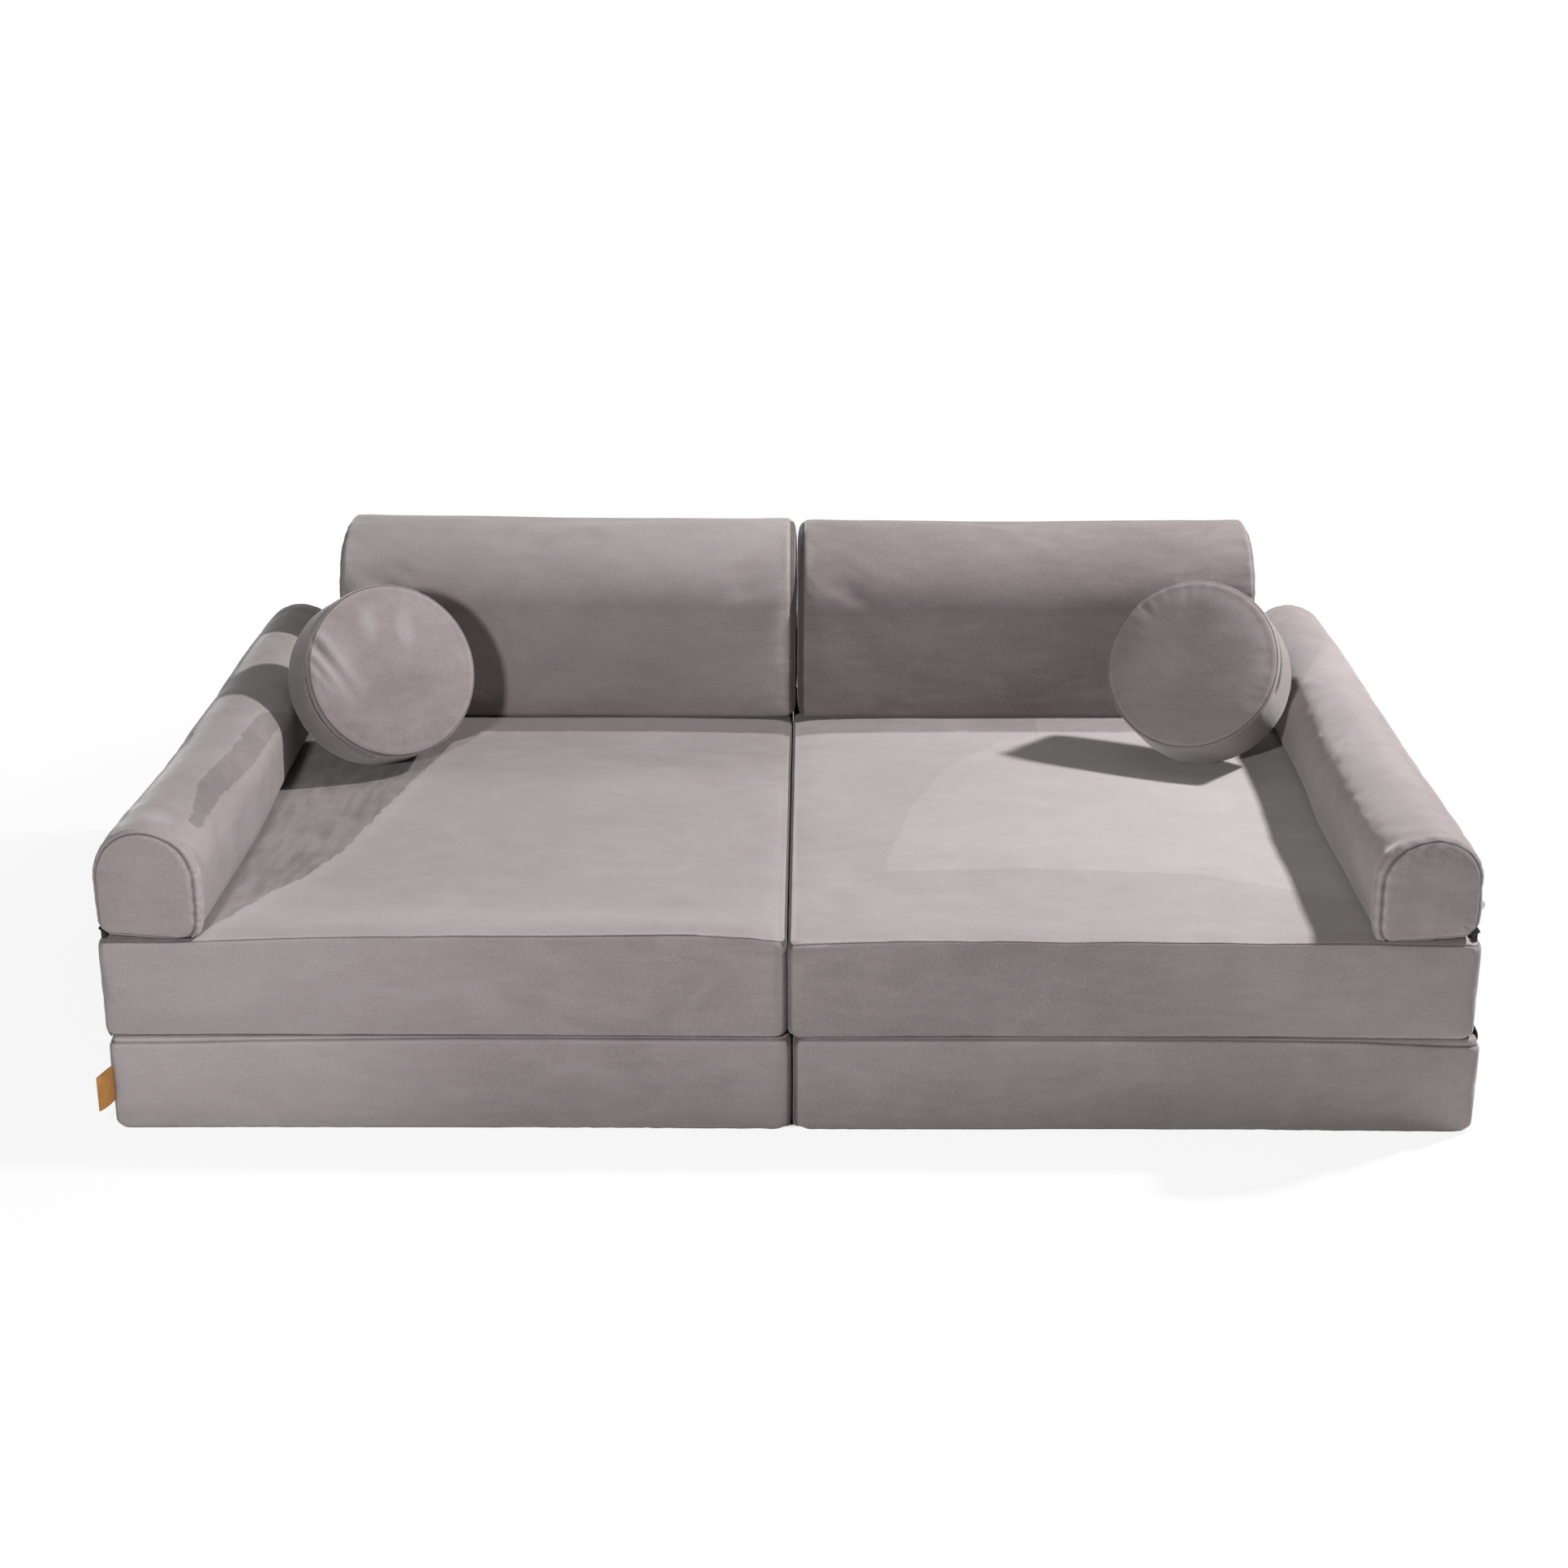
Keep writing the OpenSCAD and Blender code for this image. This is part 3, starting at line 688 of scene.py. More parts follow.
BASE_SWELL, BASE_SEAM_DROP = 3.3, 8
BASE_DROPS = {
    -1: ((-400, -330, -230, 10, 400), (8, 8, 5.5, 1.5, 1.2)),
    1: ((-400, 80, 260, 360, 400), (1.2, 1.5, 3, 8, 8)),
}
SEAT_FRONT_RISE = {
    -1: ((-400, -330, -154, 107, 294, 360, 395), (0, 1, 6.5, 9, 10, 7, 3.5)),
    1: ((-400, -380, -280, -100, 400), (-0.5, 0, 3.5, 2.5, 1.0)),
}
SEAM_WAVE = 1.5
ARM_FULLER, ARM_LEAN, ARM_TALLER = 7.5, {-1: 5.5, 1: 5.0}, {-1: 9.0, 1: 2.5}
ARM_LEAN_AT = (-500, -440, -200, 50, 300)
ARM_LEAN_SHARE = {-1: (0, 0.1, 1, 1, 0.3), 1: (0.3, 0.4, 0.8, 0.6, 0.2)}
ARM_END_LOWER, ARM_END_WIDER = 4.5, 5.5
ZIP_FLAP = {-1: 1.0, 1: 7.0}
BACK_END_IN, BACK_END_BULGE, BACK_END_PUSH, LEFT_BACK_TALLER = 4.5, 4, 4.0, (3, 8)
# Painted light on the backs: a level for each, the right one darker, and more on the top
BACK_PAINTED_LEVEL, BACK_TOP_PAINTED_LIGHT = {-1: 0.12, 1: -0.42}, {-1: 0.2, 1: 0.15}
ROUND_SEAM_DROP, ROUND_SLOT_DEEP = 0.3, 6
EDGE_ROLL, TAPE_SHOWS = 4.5, 1.5
GRID, LONG_GRID = 14, 13

# On the round cushions, in metres: folds as (from, to, depth and width in millimetres), brushed
# patches as (middle, half-widths, tone), and where the band is joined, in degrees

ROUND_FOLDS = {
    -1: (((-0.101, 0.052), (-0.056, -0.040), 2.4, 7.0), ((-0.108, 0.030), (-0.080, -0.022), 1.4, 5.0)),
    1: (),
}
ROUND_PATCHES = {
    -1: (((-0.080, 0.020), (0.040, 0.070), 0.35), ((0.026, 0.048), (0.016, 0.034), 0.5),
         ((-0.022, 0.066), (0.016, 0.034), 0.5), ((0.010, -0.030), (0.060, 0.040), -0.15)),
    1: (((0.000, 0.070), (0.035, 0.030), -0.3), ((-0.050, -0.020), (0.050, 0.060), 0.25)),
}
ROUND_JOIN = {-1: 247, 1: 262}

# Borders on the seats, in metres: x along y, and the last one y along x. The first bounds the painted
# shadow of the left arm on its seat, and the right seat's two are brushed into its pile.

LEFT_ARM_SHADOW_BORDER = ((-0.5, -0.434, -0.366, -0.318, -0.222, -0.051, 0.202, 0.238),
               (-0.290, -0.260, -0.230, -0.197, -0.160, -0.129, -0.077, -0.045))
RIGHT_ARC = ((-0.5, -0.241, -0.053, 0.095, 0.213, 0.239),
             (-0.300, -0.278, -0.241, -0.187, -0.105, -0.049))
RIGHT_EDGE = ((-0.4, -0.292, -0.092, 0.105, 0.190, 0.3),
              (-0.31, -0.285, -0.275, -0.296, -0.335, -0.39))


def edge_rows(low, high, size, depth, reach=2.6, slot=None, draw=(0, 0, 1)):
    """Rows of a band between two seams, as (height, inset), drawn in by depth within reach of each.
    draw is (inset, start, run) of what a long cushion is drawn in further along."""
    rows = []
    for h in steps(low, high, size, True, slot):
        near = min(h - low, high - h)
        more = draw[0] * min(1, (near + draw[1]) / draw[2])
        rows.append((h, depth * math.exp(-near / reach) + more))
    return rows


def end_panel(sign, end, bulge, inset, push=0):
    """Height of a long cushion's end panel at a distance in from the outline. push is how much
    further the inner end stands out."""
    def height(d):
        return sign * (end - bulge * np.exp(-(d - inset) / 9) + push * ease(d, 3.0, 11))
    return height


def zip_share(along, half, fade=13):
    """1 along a straight zip, fading to 0 past its ends."""
    return ease(-abs(along), -half - fade, -half - 1)


def slab_panel(side, rise, drop):
    """Height of a slab's panel at a distance in from the outline, rolling over the edge to its seam."""
    def height(d):
        t = np.clip((d - LAP_IN) / (MODULE_W / 2 - LAP_IN), 0, 1)
        roll = np.clip((d - SEAM_IN) / EDGE_ROLL, 0, 1)
        lift = rise * (1 - (1 - t) ** 2) - drop * (1 - np.sqrt(1 - (1 - roll) ** 2))
        return SLAB_T + lift if side > 0 else -lift
    return height


def press_together(work, side, reach):
    """Moves a slab's inner side out to where the other module's begins."""
    at = work.points / MM
    share = np.clip(at[:, 1] / MODULE_D + 0.5, 0, 1)
    go = np.maximum(reach + SLAB_DRAW * 4 * share * (1 - share) - 0.4, 0)
    inner = ease(-at[:, 0] * side, MODULE_W / 2 - 70, MODULE_W / 2 - 6)
    work.points[:, 0] -= side * go * inner * MM


def raise_front(work, side):
    """Lifts a seat's front top edge, whose seam runs up and down."""
    at = work.points / MM
    wave = SEAM_WAVE * field(work.points * (1, 0, 0), 0.085, 31 + side)
    rise = np.interp(at[:, 0], *SEAT_FRONT_RISE[side]) + wave
    rise *= ease(at[:, 2], 30, 116)
    rise *= ease(-at[:, 1], MODULE_D / 2 - 110, MODULE_D / 2 - 12)
    work.points[:, 2] += rise * MM


def raise_seam(work, side):
    """Brings a lower slab's top seam up to the edge, but for its outer end."""
    below = SLAB_T - work.points[:, 2] / MM
    share = 1 - np.interp(work.points[:, 0] / MM, *BASE_DROPS[side]) / BASE_SEAM_DROP
    up = share * np.minimum(below, BASE_SEAM_DROP) * np.exp(-np.maximum(below - BASE_SEAM_DROP, 0) / 10)
    work.points[:, 2] += up * MM


def seat_pile_and_painted_light(work, side):
    """The pile of the seats, with the borders that a hand brushed into it, and painted light and shade:
    tops painted lighter, fronts painted lighter or darker across, a painted shadow of the back along the
    rear and, on the left seat, a painted shadow of the arm, streaked like pile.
    """
    x, y, _ = (work.points + 0.004 * field(work.points, 0.03, 5)[:, None]).T
    top = ease(work.out[:, 2], 0.7, 0.97)
    front = ease(-work.out[:, 1], 0.7, 0.97)
    # where the painted shadow of the back falls along the seat's rear edge
    behind = ease(y, 0.247, 0.255)
    edge_z = SLAB_T * MM
    if side < 0:
        # The dark part left of this border is a painted shadow of the left arm, streaked like pile
        border = np.interp(y, *LEFT_ARM_SHADOW_BORDER)
        rough = 0.75 + 0.9 * np.abs(field(work.points * (1, 0.25, 1), 0.016, 8))
        work.brush((border - x) * 0.85 / MM, np.where(top > 0.5, -0.95 * rough, 0))
        # Painted light on the left seat's top: darker towards the rear, with a lighter strip beside the
        # arm's painted shadow
        pile_and_painted_light = 0.40 - 0.50 * ease(y, -0.05, 0.20) + 0.20 * bell(x - border - 0.010, 0.012)
        # Painted light on the front, lighter towards the left end
        face = 0.35 * ease(-x, -0.1, 0.2)
        # Painted highlight along the front top edge near the middle
        work.stroke((0.300, -0.497, edge_z), (0.392, -0.497, edge_z), 2.0, 0.4)
    else:
        work.brush((np.interp(y, *RIGHT_ARC) - x) * 0.8 / MM, np.where(top > 0.5, -0.24, 0))
        work.brush((np.interp(x, *RIGHT_EDGE) - y) / MM, np.where(top > 0.5, -0.34, 0))
        # Painted light on the right seat's top
        pile_and_painted_light = 0.68
        # Painted shade on the front, darker towards the left end
        face = -0.4 * ease(-x, -0.25, 0.1)
        work.stroke((-0.307, -0.364, edge_z), (-0.088, -0.347, edge_z), 2.5, 0.3)
        # Painted highlight on the lip under the front seam, at the inner corner
        work.stroke((-0.396, -0.498, 0.116), (-0.352, -0.498, 0.117), 1.4, 0.9)
    # Tops painted lighter, minus the back's painted shadow along the rear, and the fronts' painted light
    work.nap += top * (pile_and_painted_light - 1.15 * behind) + front * face


def make_slab(side, piece, seed, tone):
    body = f"{SIDES[side]}_{piece}"
    seat = piece == "seat"
    rise, drop, reach = (SEAT_CROWN, SEAM_DROP, 0) if seat else (0, BASE_SEAM_DROP, BASE_SWELL)
    half_w, half_d, zip_z = MODULE_W / 2, MODULE_D / 2, SLAB_T / 2
    hx, hy, r = half_w - SLAB_CORNER, half_d - SLAB_CORNER, SLAB_CORNER
    outline = Outline([
        (hx, -hy, r, -90, 0), (hx, hy, r, 0, 90), (-hx, hy, r, 90, 180), (-hx, -hy, r, 180, 270)
    ], SLAB_DRAW)
    four_sides(outline, [(k, 0.5) for k in (6, 0, 2, 4)], GRID, graded=True)
    band = edge_rows(SEAM_DROP, SLAB_T - drop, GRID, SEAM_IN, slot=zip_z)
    cover = Cover(outline, band, (2.5, 3.1, 4.1, 5.6, 7.6),
                  slab_panel(-1, 0, SEAM_DROP), slab_panel(1, rise, drop))

    def pressed(at, sole):
        """Where the slab meets the other module, or another slab or the floor below sole."""
        inner = at[:, 0] * side < -(half_w - 12)
        return inner | (at[:, 2] < sole) | (at[:, 2] > SLAB_T - 4) & (not seat)

    work = begin(body, cover, lambda at: pressed(at, 8) | (at[:, 1] > half_d - 8)
                 & (abs(at[:, 2] - zip_z) < 12), 16, 2.6, seed)
    work.sew(1.3, 0.4, 0.9, 15)
    press_together(work, side, reach)
    if not seat:
        raise_seam(work, side)
    work.waves(0.20, 1.2, 0.075, 0.4)
    if seat:
        seat_pile_and_painted_light(work, side)
        raise_front(work, side)
    elif side < 0:
        # Painted light: the left base's front lighter towards its left end
        painted_light_share = ease(-work.points[:, 0], -0.1, 0.25)
        work.nap += 0.8 * ease(-work.out[:, 1], 0.7, 0.97) * painted_light_share
    work.paint_gap_shade(side)
    # Dents at the corners, with painted shade in them
    for k, (sx, sy) in enumerate(((-1, -1), (-1, 1), (1, -1), (1, 1))):
        for z in (1, SLAB_T - 1):
            work.dent((sx * (half_w - 5), sy * (half_d - 5), z), 3.2 + math.sin(seed + 3 * k + z), 7)
    at = work.points / MM
    work.apply(np.where(pressed(at, 4), 0.0, 5 * MM))
    # Folded out, the slab's outer side lies against the other slab's
    work.points[:, 0] = np.clip(work.points[:, 0] * side, None, half_w * MM) * side
    inside = zip_share(at[:, 0], SLAB_ZIP_HALF, 14) * (at[:, 1] > half_d - 9)
    work.slot(at[:, 2] - zip_z, inside, np.array([0, 1, 0]), half_d - WRAP + TAPE_SHOWS)
    put_on(work, tone, body)


def round_ends(work, side):
    """Draws an arm's lower corners in near its ends, where the tube's cloth is gathered. Its front
    end sags a little at the outer side, and stands higher at the top and wider at the inner side."""
    at = work.points / MM
    x, z = at[:, 0], at[:, 2] - 50
    angle = np.degrees(np.arctan2(z, abs(x)))
    outer_only = np.where(side * x < 0, 0.3, 1)
    draw = 0.03 * bell(angle + 41, 17) * ease(abs(at[:, 1]), 395, 490) * outer_only
    near_end = ease(-at[:, 1], 465, 493)
    lift = -ARM_END_LOWER * ease(-at[:, 2], -28, -6) * ease(-x, -45, 40) * near_end
    lift += ARM_TALLER[side] * ease(at[:, 2], 35, 125) * ease(-at[:, 1], 180, 485)
    lean = ARM_LEAN[side] * np.interp(at[:, 1], ARM_LEAN_AT, ARM_LEAN_SHARE[side])
    work.points[:, 0] -= (x * draw + lean + ARM_END_WIDER * ease(-x, 0, 50) * near_end) * MM
    work.points[:, 2] += (lift - z * draw) * MM


def dress_arm(work, side):
    """Puckers behind the front seam, creases of the front panel and brushed pile, and on the right arm a
    painted highlight along the front seam.
    """
    half, end = ARM_W / 2 * MM, MODULE_D / 2 * MM
    for z, y in ((0.082, 0.034), (0.060, 0.030), (0.041, 0.026), (0.024, 0.022)):
        work.crease((-half, -end + 0.007, z), (-half, -end + y, z - 0.006), 1.1, 2.0, 0.7)
    if side > 0:
        work.crease((-0.041, -end, 0.103), (-0.042, -end, 0.086), 0.9, 1.5)
        work.crease((-0.025, -end, 0.113), (-0.021, -end, 0.097), 0.9, 1.5)
        # Painted highlight along the front seam
        work.stroke((-0.004, -end + 0.003, 0.119), (0.021, -end + 0.003, 0.108), 1.3, 0.9)
        work.stroke((0.021, -end + 0.003, 0.108), (0.040, -end + 0.003, 0.088), 1.0, 0.5)
        work.patch((-0.05, -0.40, 0.05), (0.03, 0.09, 0.03), 0.35)
    else:
        work.patch((-0.010, -0.445, 0.124), (0.022, 0.030, 0.02), 0.5)
        work.patch((-0.050, -0.330, 0.070), (0.02, 0.10, 0.03), 0.35)
        work.brush_band(((-0.056, 0.07, 0.084), (-0.048, -0.016, 0.102), (-0.045, -0.170, 0.104),
                         (-0.038, -0.294, 0.112), (-0.042, -0.420, 0.109)), (10, 15, 16, 15, 8), -0.55)
        work.patch((-0.058, -0.220, 0.045), (0.02, 0.13, 0.03), 0.3)


def make_arm(side, seed, tone):
    """The outline lies across the arm, in x and z, with the outer side at +x, and the band along y."""
    body = f"{SIDES[side]}_arm"
    half, end, f = ARM_W / 2, MODULE_D / 2, ARM_FOOT_R
    outline = Outline([
        (half - f, f, f, -90, 0), (0, ARM_H - half, half, 0, 180), (f - half, f, f, 180, 270)
    ])
    corners = ((4, 0.5), (0, 0.5), (2, 0.25), (2, 0.75))
    four_sides(outline, corners, 8, outline.starts[1] + (ARM_ZIP_Z - f), 1)
    seam = end - ARM_END_BULGE
    band = edge_rows(-seam, seam, LONG_GRID, ARM_END_IN, 5.5, draw=(1.0, ARM_END_BULGE, 400))
    panels = [end_panel(sign, end, ARM_END_BULGE, ARM_END_IN) for sign in (-1, 1)]
    cover = Cover(outline, band, (7.2, 8.4, 10.5, 14, 19), *panels)
    work = begin(body, cover, lambda at: (at[:, 2] < 10) | (at[:, 0] < -(half - 6))
                 | (at[:, 0] > half - 8) & (abs(at[:, 2] - ARM_ZIP_Z) < 12), 14, 2.4, seed, (0, 2, 1))
    round_ends(work, side)
    work.sew(1.5, 0.6, 1.6, 22)
    dress_arm(work, side)
    work.waves(0.16, 1.1, 0.05, 0.5)
    # Dents near the ends, with painted shade in them
    for y in (-end + 5, end - 5):
        for x in (9 - half, half - 9):
            work.dent((x, y, 7), 0.6, 8)
    at = work.points / MM
    fuller = ARM_FULLER * ease(-at[:, 1], -60, 160) * ease(-at[:, 0], 12, half - 3)
    fuller *= np.sin(np.pi * np.clip(at[:, 2] / ARM_H, 0.3, 1)) ** 0.6
    off_flap = lengths((at - (half, -end + 26, 38)) / (1, 1, 0.75))
    flap = ZIP_FLAP[side] * bell(off_flap, 8)
    work.rise += (fuller + flap) * MM
    by_disc = ease(-at[:, 0], half - 20, half - 8) * ease(at[:, 1], -60, 60)
    work.apply(np.where(at[:, 2] < 6, 0.0, (4 * (1 - by_disc) + fuller + flap) * MM))
    inside = zip_share(at[:, 1], ARM_ZIP_HALF) * (at[:, 0] > half - 9)
    work.slot(at[:, 2] - ARM_ZIP_Z, inside, np.array([1, 0, 0]), half - WRAP + TAPE_SHOWS)
    put_on(work, tone, body, side)


def make_back(side, seed, tone):
    """The outline lies across the back, in y and z, and the band along x, with its outer end at +x."""
    body = f"{SIDES[side]}_back"
    c = BACK_CORNER
    outline = Outline([
        (BACK_D - c, c, c, -90, 0), (BACK_D - c, BACK_H - c, c, 0, 90),
        (BACK_LEAN + BACK_R, BACK_H - BACK_R, BACK_R, 90, 177), (c, c, c, 177, 270)
    ])
    arcs = [k for k, part in enumerate(outline.parts) if part[2]]
    corners = [(k, 0.5) for k in arcs[3:] + arcs[:3]]
    four_sides(outline, corners, 11, outline.starts[arcs[0] + 1] + (BACK_ZIP_Z - c), 1)
    low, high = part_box(f"{body}_cover")
    end = (high.x - low.x) / MM / 2
    seam = end - BACK_END_BULGE
    band = edge_rows(-seam, seam, LONG_GRID, BACK_END_IN, 4.5, draw=(1.2, BACK_END_BULGE, 300))
    cover = Cover(outline, band, (5.4, 6.6),
                  end_panel(-1, end, BACK_END_BULGE, BACK_END_IN, BACK_END_PUSH),
                  end_panel(1, end, BACK_END_BULGE, BACK_END_IN))
    work = begin(body, cover, lambda at: (at[:, 2] < 8) | (at[:, 0] < -(end - 6))
                 | (at[:, 1] > BACK_D - 8) & (at[:, 2] < 50), 16, 2.6, seed, (2, 0, 1))
    if side < 0:
        at = work.points / MM
        taller = np.interp(at[:, 0], (-end, end), LEFT_BACK_TALLER)
        work.points[:, 2] += taller * ease(at[:, 2], 60, 240) * MM
    work.sew(1.5, 0.6, 1.3, 20)
    work.waves(0.2, 1.2, 0.06, 0.45)
    at = work.points / MM
    room = np.where((at[:, 2] < 5) | (at[:, 0] < -(end - 6)), 0.0, 4 * MM)
    room *= np.where(at[:, 1] > BACK_D - 9, ease(at[:, 2], 40, 80), 1)
    # Painted light: each back's level, the right one painted darker, and its top painted lighter
    work.nap += ease(at[:, 2], 40, 130) * BACK_TOP_PAINTED_LIGHT[side] + BACK_PAINTED_LEVEL[side]
    work.paint_gap_shade()
    work.apply(room)
    inside = zip_share(at[:, 0], end - BACK_ZIP_END) * (at[:, 1] > BACK_D - 9)
    work.slot(at[:, 2] - BACK_ZIP_Z, inside, np.array([0, 1, 0]), BACK_D - WRAP + TAPE_SHOWS)
    middle = ((low.x + high.x) / 2, low.y, low.z)
    matrix = Matrix.Translation(middle) @ Matrix.Scale(side, 4, (1, 0, 0))
    put_on(work, tone, body, matrix=matrix)


def round_matrix(side):
    """Place of a round cushion: its middle and its turn, from the joint of its zip."""
    name = SIDES[side]
    joint = next(j for j in frame["joints"] if j["name"] == f"{name}_round_zip")
    face = Vector(joint["axis"]) * -side
    lean = math.asin(face.z)
    turn = math.atan2(face.x, -face.y)
    return (Matrix.Translation(joint["pos_m"]) @ Matrix.Rotation(turn, 4, "Z")
            @ Matrix.Rotation(math.pi / 2 - lean, 4, "X"))


def dress_round(work, side, zip_from):
    """Folds and brushed pile of a face, painted shade along the join of its band, and the bar tacks of
    its zip.
    """
    r, seam_z = ROUND_D / 2 * MM, ROUND_T / 2 * MM
    face = seam_z + ROUND_CROWN * MM * 0.8

    for a, b, depth, width in ROUND_FOLDS[side]:
        work.crease((*a, face - 0.004), (*b, face), depth, width, 0.8)
    for at, size, tone in ROUND_PATCHES[side]:
        work.patch((*at, face), (*size, 0.02), tone)
    tack = (seam_z - 0.030, seam_z - 0.002, 0.9, 1.1)
    # The join is painted shade along the band's seam, and the bar tacks are lighter thread
    for degrees, low, high, width, tone in (
        (ROUND_JOIN[side], -seam_z, seam_z, 1.0, -0.9),
        (zip_from - 3, *tack), (zip_from + ROUND_ZIP_TURN + 3, *tack),
    ):
        x, y = on_arc(0, 0, r, math.radians(degrees))
        work.stroke((x, y, high), (x, y, low), width, tone)


def make_round(side, zip_from, seed, tone):
    """The outline lies in the cushion's plane and the band along its axis, with the front at +z."""
    body = f"{SIDES[side]}_round"
    r, seam_z = ROUND_D / 2, ROUND_T / 2
    outline = Outline([(0, 0, r, 90 * k - 45, 90 * k + 45) for k in range(4)])
    four_sides(outline, ((3, 1), (1, 0), (2, 0), (3, 0)), 9)
    slot_z = seam_z - ROUND_ZIP_IN
    seam = seam_z - ROUND_SEAM_DROP
    band = edge_rows(-seam, seam, GRID, SEAM_IN, slot=slot_z)

    def panel(sign):
        def height(d):
            crown = ROUND_CROWN * (1 - np.clip(1 - d / r, 0, 1) ** 2.6)
            return sign * (seam_z + crown - 0.9 * np.exp(-(d - SEAM_IN) / 2.0))
        return height

    rings = (3.4, 4.8, 7, 11, 17, 25, 34, 44, 54, 64, 74)
    cover = Cover(outline, band, rings, panel(-1), panel(1))
    work = begin(body, cover, lambda at: lengths(at[:, :2]) > r - 3, 16, 3, seed)
    work.sew(1.5, 0.5, 1.1, 14)
    dress_round(work, side, zip_from)
    work.waves(0.12, 0.9, 0.04, 0.35)
    at = work.points / MM
    away = lengths(at[:, :2])
    work.apply(np.where(away > r - 4, 0.0, 3 * MM))
    span = (np.degrees(np.arctan2(at[:, 1], at[:, 0])) - zip_from) % 360
    off_end = np.where(span > ROUND_ZIP_TURN, -np.minimum(span - ROUND_ZIP_TURN, 360 - span),
                       np.minimum(span, ROUND_ZIP_TURN - span))
    inside = ease(off_end, -6, -0.5) * (away > r - 9)
    radial = np.zeros_like(at)
    radial[:, :2] = at[:, :2] / np.maximum(away, 1e-6)[:, None]
    work.slot(at[:, 2] - slot_z, inside, radial, r - ROUND_SLOT_DEEP, (2.4, 1.0, 0.2, 0))
    put_on(work, tone, body, matrix=round_matrix(side))


for k, side in enumerate((-1, 1)):
    make_slab(side, "base", 11 + k, -0.02)
    make_slab(side, "seat", 23 + k, (-0.06, 0.08)[k])
    make_arm(side, 37 + k, (0.0, 0.15)[k])
    make_back(side, 41 + k, (0.02, -0.06)[k])
    make_round(side, (48, -6)[k], 53 + k, (0.03, 0.05)[k])


# Trim

HINGE_DOWN, HINGE_UP, HINGE_BULGE, HINGE_T = 9, 13, 5, 1.2
BASE_SHIFT = {-1: 2, 1: 9}
TAG_HEIGHT, TAG_SAG, TAG_T, TAG_SEWN_IN = 0.044, 0.009, 0.0007, 0.0026
TAG_HALF, TAG_LOOP, TAG_BOW = 0.0006, 0.0009, 0.0022
TAG_TIP, TAG_TURN = 0.9, 0.1  # shares of a half: where the fold's turn begins, and its length


def closed_strip(line, thick):
    """Points and faces of a strip of cloth. line is a run of cross-sections with equally many points."""
    line = np.array(line, float)
    count, across, _ = line.shape
    width = np.cross(np.gradient(line, axis=1), np.gradient(line, axis=0))
    width /= np.maximum(lengths(width)[..., None], 1e-12)
    both = np.stack([line + width * thick / 2, line - width * thick / 2], axis=2)

    def at(i, j, k):
        return (i * across + j) * 2 + k

    ring = [(j, 0) for j in range(across)] + [(j, 1) for j in reversed(range(across))]
    faces = [[at(i, *a), at(i, *b), at(i + 1, *b), at(i + 1, *a)]
             for i in range(count - 1) for a, b in zip(ring, ring[1:] + ring[:1])]
    faces += [[at(i, j, 0), at(i, j, 1), at(i, j + 1, 1), at(i, j + 1, 0)]
              for i in (0, count - 1) for j in range(across - 1)]
    return both.reshape(-1, 3), faces


def make_hinge(side):
    """The strip of velvet that joins a module's two slabs and bulges out between them."""
    name = SIDES[side]
    low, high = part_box(f"{name}_hinge_fabric")
    fold_z = low.z + HINGE_DOWN * MM
    outer = side * (MODULE_W + CLEAR / 2) * MM
    line = []
    for y in np.linspace(low.y, high.y, 150):
        pinch = 0.25 * math.exp(-min(y - low.y, high.y - y) / 0.012)
        full = 1 + 0.14 * noise.noise(Vector((3.1 * side, y * 22, 0.4))) - pinch
        line.append([])
        for t in np.linspace(0, 1, 13):
            z = -HINGE_DOWN + t * (HINGE_UP + HINGE_DOWN)
            out = HINGE_BULGE * math.sin(math.pi * t) ** 0.75 * full + CLEAR
            x = outer + BASE_SHIFT[side] * MM * (1 - t) + side * (out - HINGE_T / 2) * MM
            line[-1].append((x, y, fold_z + z * MM))
    thing = mesh_object(f"{name}_hinge_strip", *closed_strip(line, HINGE_T * MM * 0.8))
    thing.data.materials.append(velvet)
    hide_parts(f"{name}_hinge_fabric")
    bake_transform(thing)


def make_tag():
    """A tape folded double, sewn into the left front corner's seam and hanging a little at its fold."""
    low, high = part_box("side_tag")
    sewn_at = Vector((high.x - TAG_HALF, high.y - TAG_HALF, 0))
    out = Vector((-1, -1, 0)).normalized()
    aside = Vector((1, -1, 0)).normalized()
    reach = (high.x - low.x) * math.sqrt(2) - TAG_SEWN_IN
    line = []
    for up in np.linspace(0, 1, 15):
        line.append([])
        for t in np.linspace(0, 1, 25):
            fold = 1 - abs(2 * t - 1)
            tip = max(0, fold - TAG_TIP) / TAG_TURN * math.pi / 2
            go = reach * (TAG_TIP + TAG_TURN * math.sin(tip) if tip else fold)
            loop = TAG_LOOP * math.sin(math.pi * min(1, fold * 1.02)) ** 0.7
            apart = math.copysign(1, 0.5 - t) * (TAG_HALF + loop) * math.cos(tip)
            bow = TAG_BOW * math.sin(math.pi * fold) * (1 - 0.6 * up)
            p = sewn_at + out * go + aside * (apart + bow)
            curl = 0.0006 * math.sin(5 * up) * math.sin(fold * math.pi / 2)
            z = low.z + TAG_SAG + up * TAG_HEIGHT - TAG_SAG * fold ** 1.2 + curl
            line[-1].append((p.x, p.y, z))
    thing = mesh_object("folded_tag", *closed_strip(line, TAG_T))
    subdivide(thing)
    thing.data.materials.append(tag_material())
    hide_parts("side_tag")
    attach(thing, "left_base")


for side in (-1, 1):
    make_hinge(side)
make_tag()


# Floor, light and view

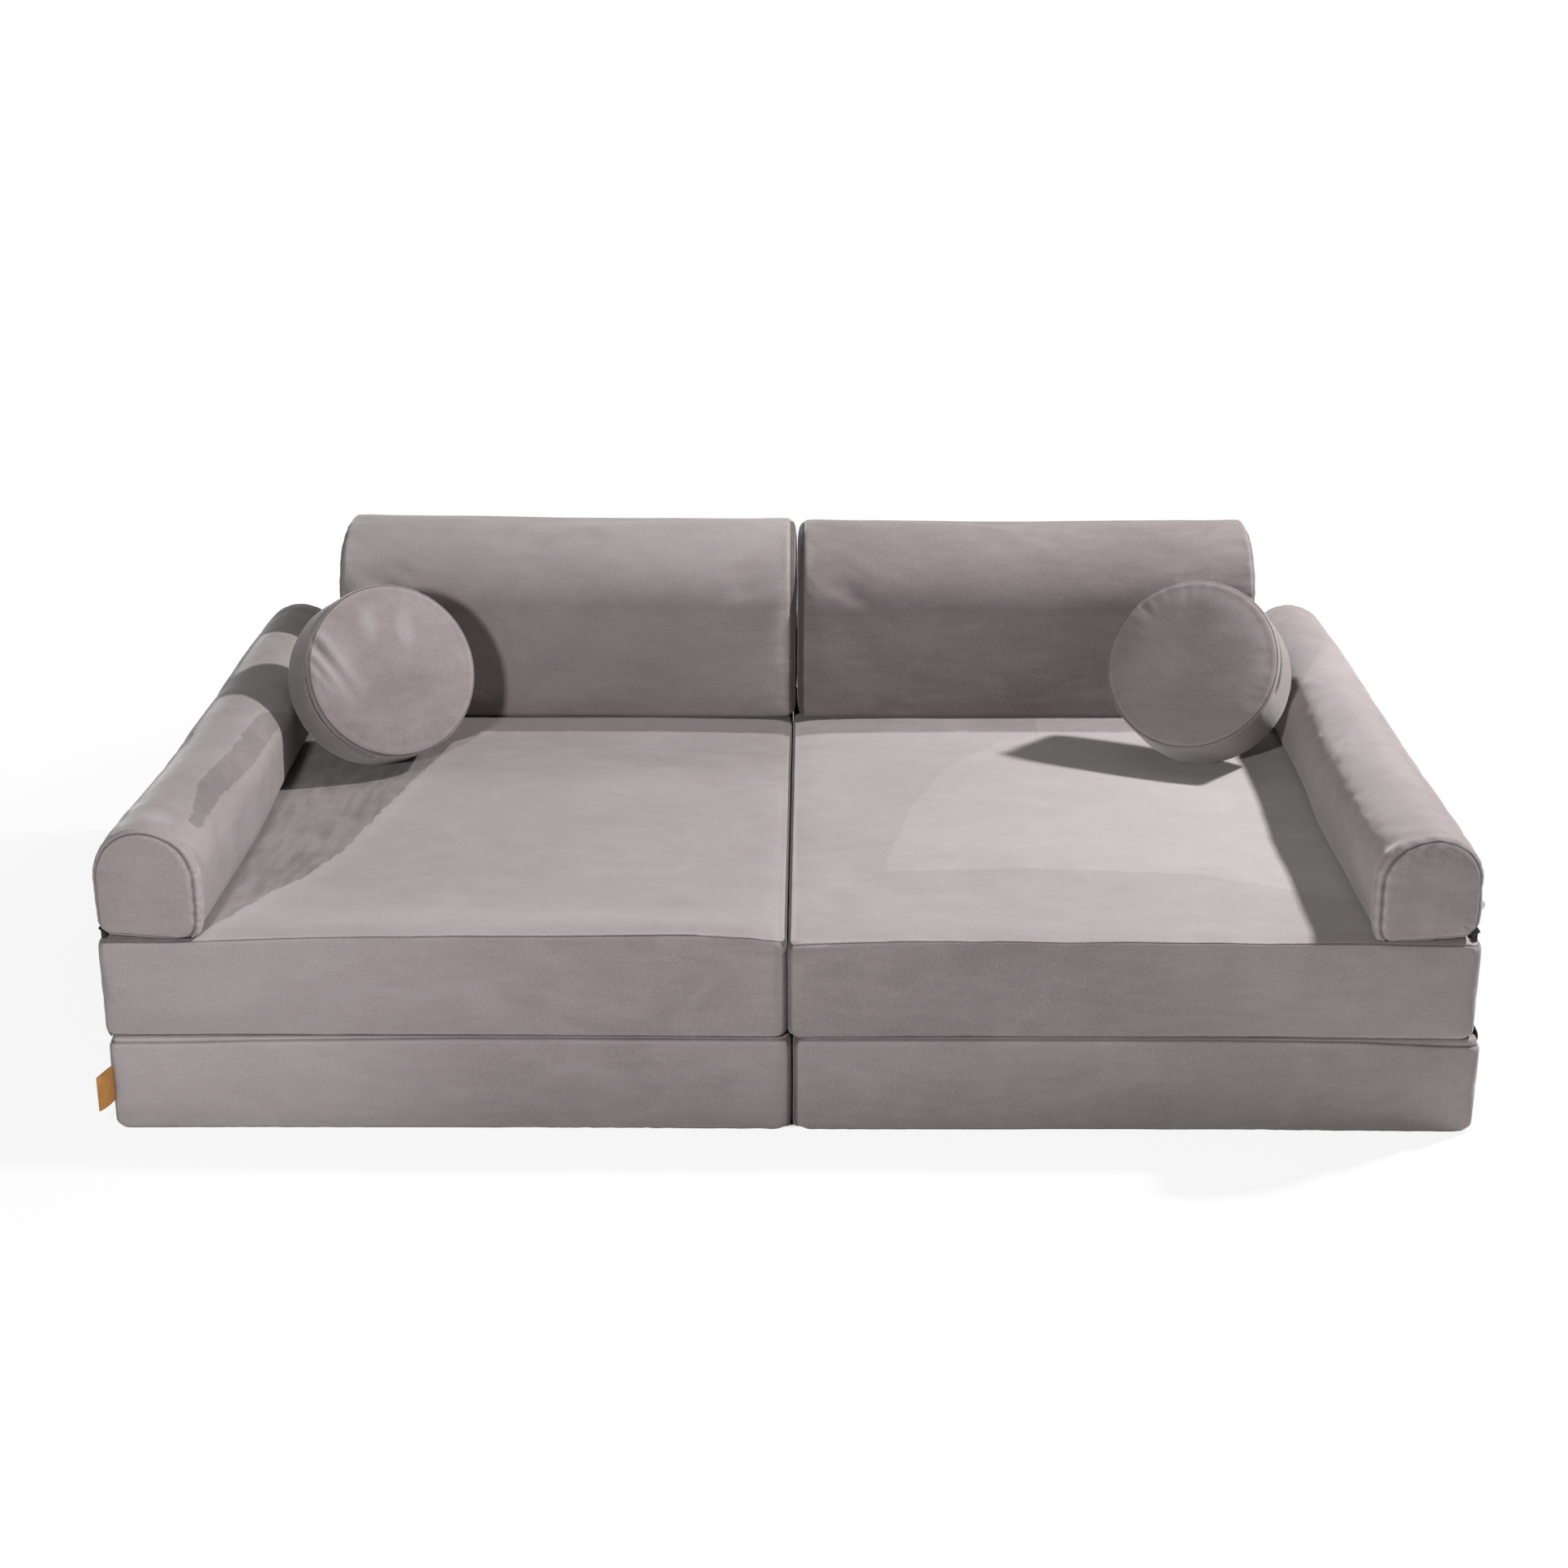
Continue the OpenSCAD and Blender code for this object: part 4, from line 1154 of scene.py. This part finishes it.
FLOOR_HALF, FLOOR_Z = 45, -0.0004
FOOTPRINT = (0.775, 0.480)
WHITE_FROM, WHITE_TO, WHITE_NEAR = 0.85, 1.8, 0.88
LAMPS = (  # name, place, aim, size in metres and power in watts
    ("front_box", (-0.72, -2.3, 1.24), (-0.2, 0, 0.3), 0.14, 33),
    ("side_box", (2.49, 0.56, 2.7), (0.2, 0, 0.25), 0.2, 182),
    ("top_box", (0, 0.2, 3.4), (0, 0, 0), 2.4, 10),
)
WORLD_FILL = 0.03


def floor_material():
    """Pale floor. The camera sees it nearly white around the object, so that the shadow stays, and
    all white further off."""
    n = Nodes("floor")
    tone = n.noise(3, 2)
    colour = n.ramp(tone, (0.3, (0.74, 0.74, 0.74)), (0.7, (0.77, 0.77, 0.77)))
    n.finish(Base_Color=colour, Roughness=0.9, Specular_IOR_Level=0.1)
    glow = n.add("Emission", {"Color": (1, 1, 1, 1)})
    away = n.add("VectorMath", {0: n.coords}, operation="LENGTH")
    white = n.span(away.outputs["Value"], WHITE_FROM, WHITE_TO, WHITE_NEAR, 1.0)
    place = n.add("SeparateXYZ", {0: n.coords})
    beside = n.math("MAXIMUM", *(n.span(n.math("ABSOLUTE", place.outputs[k]), reach, reach + 0.01)
                                 for k, reach in enumerate(FOOTPRINT)))
    share = n.math("MULTIPLY", n.math("MULTIPLY", n.seen_directly(), beside), white)
    mix = n.add("MixShader", {"Fac": share, 1: n.shader.outputs["BSDF"], 2: glow.outputs["Emission"]})
    n.put(mix.outputs["Shader"], n.tree.nodes["Material Output"].inputs["Surface"])
    return n.owner


def make_floor():
    far = FLOOR_HALF
    corners = [(x, y, FLOOR_Z) for x, y in ((-far, -far), (far, -far), (far, far), (-far, far))]
    thing = mesh_object("floor", corners, [(0, 1, 2, 3)])
    thing.data.materials.append(floor_material())


def softbox(name, at, aim, size, power):
    data = bpy.data.lights.new(name, "AREA")
    data.shape = "SQUARE"
    data.size = size
    data.energy = power
    lamp = linked(name, data)
    lamp.location = at
    lamp.rotation_euler = (Vector(aim) - Vector(at)).to_track_quat("-Z", "Y").to_euler()


def make_world():
    """White to the camera, and a faint light on the object."""
    n = Nodes("studio", bpy.data.worlds, "Background")
    level = n.add("MapRange", {"Value": n.seen_directly(), "To Min": WORLD_FILL, "To Max": 1})
    bpy.context.scene.world = n.finish(Color=(1, 1, 1, 1), Strength=level.outputs["Result"])


make_floor()
for lamp in LAMPS:
    softbox(*lamp)
make_world()
bpy.context.scene.view_settings.view_transform = "Standard"
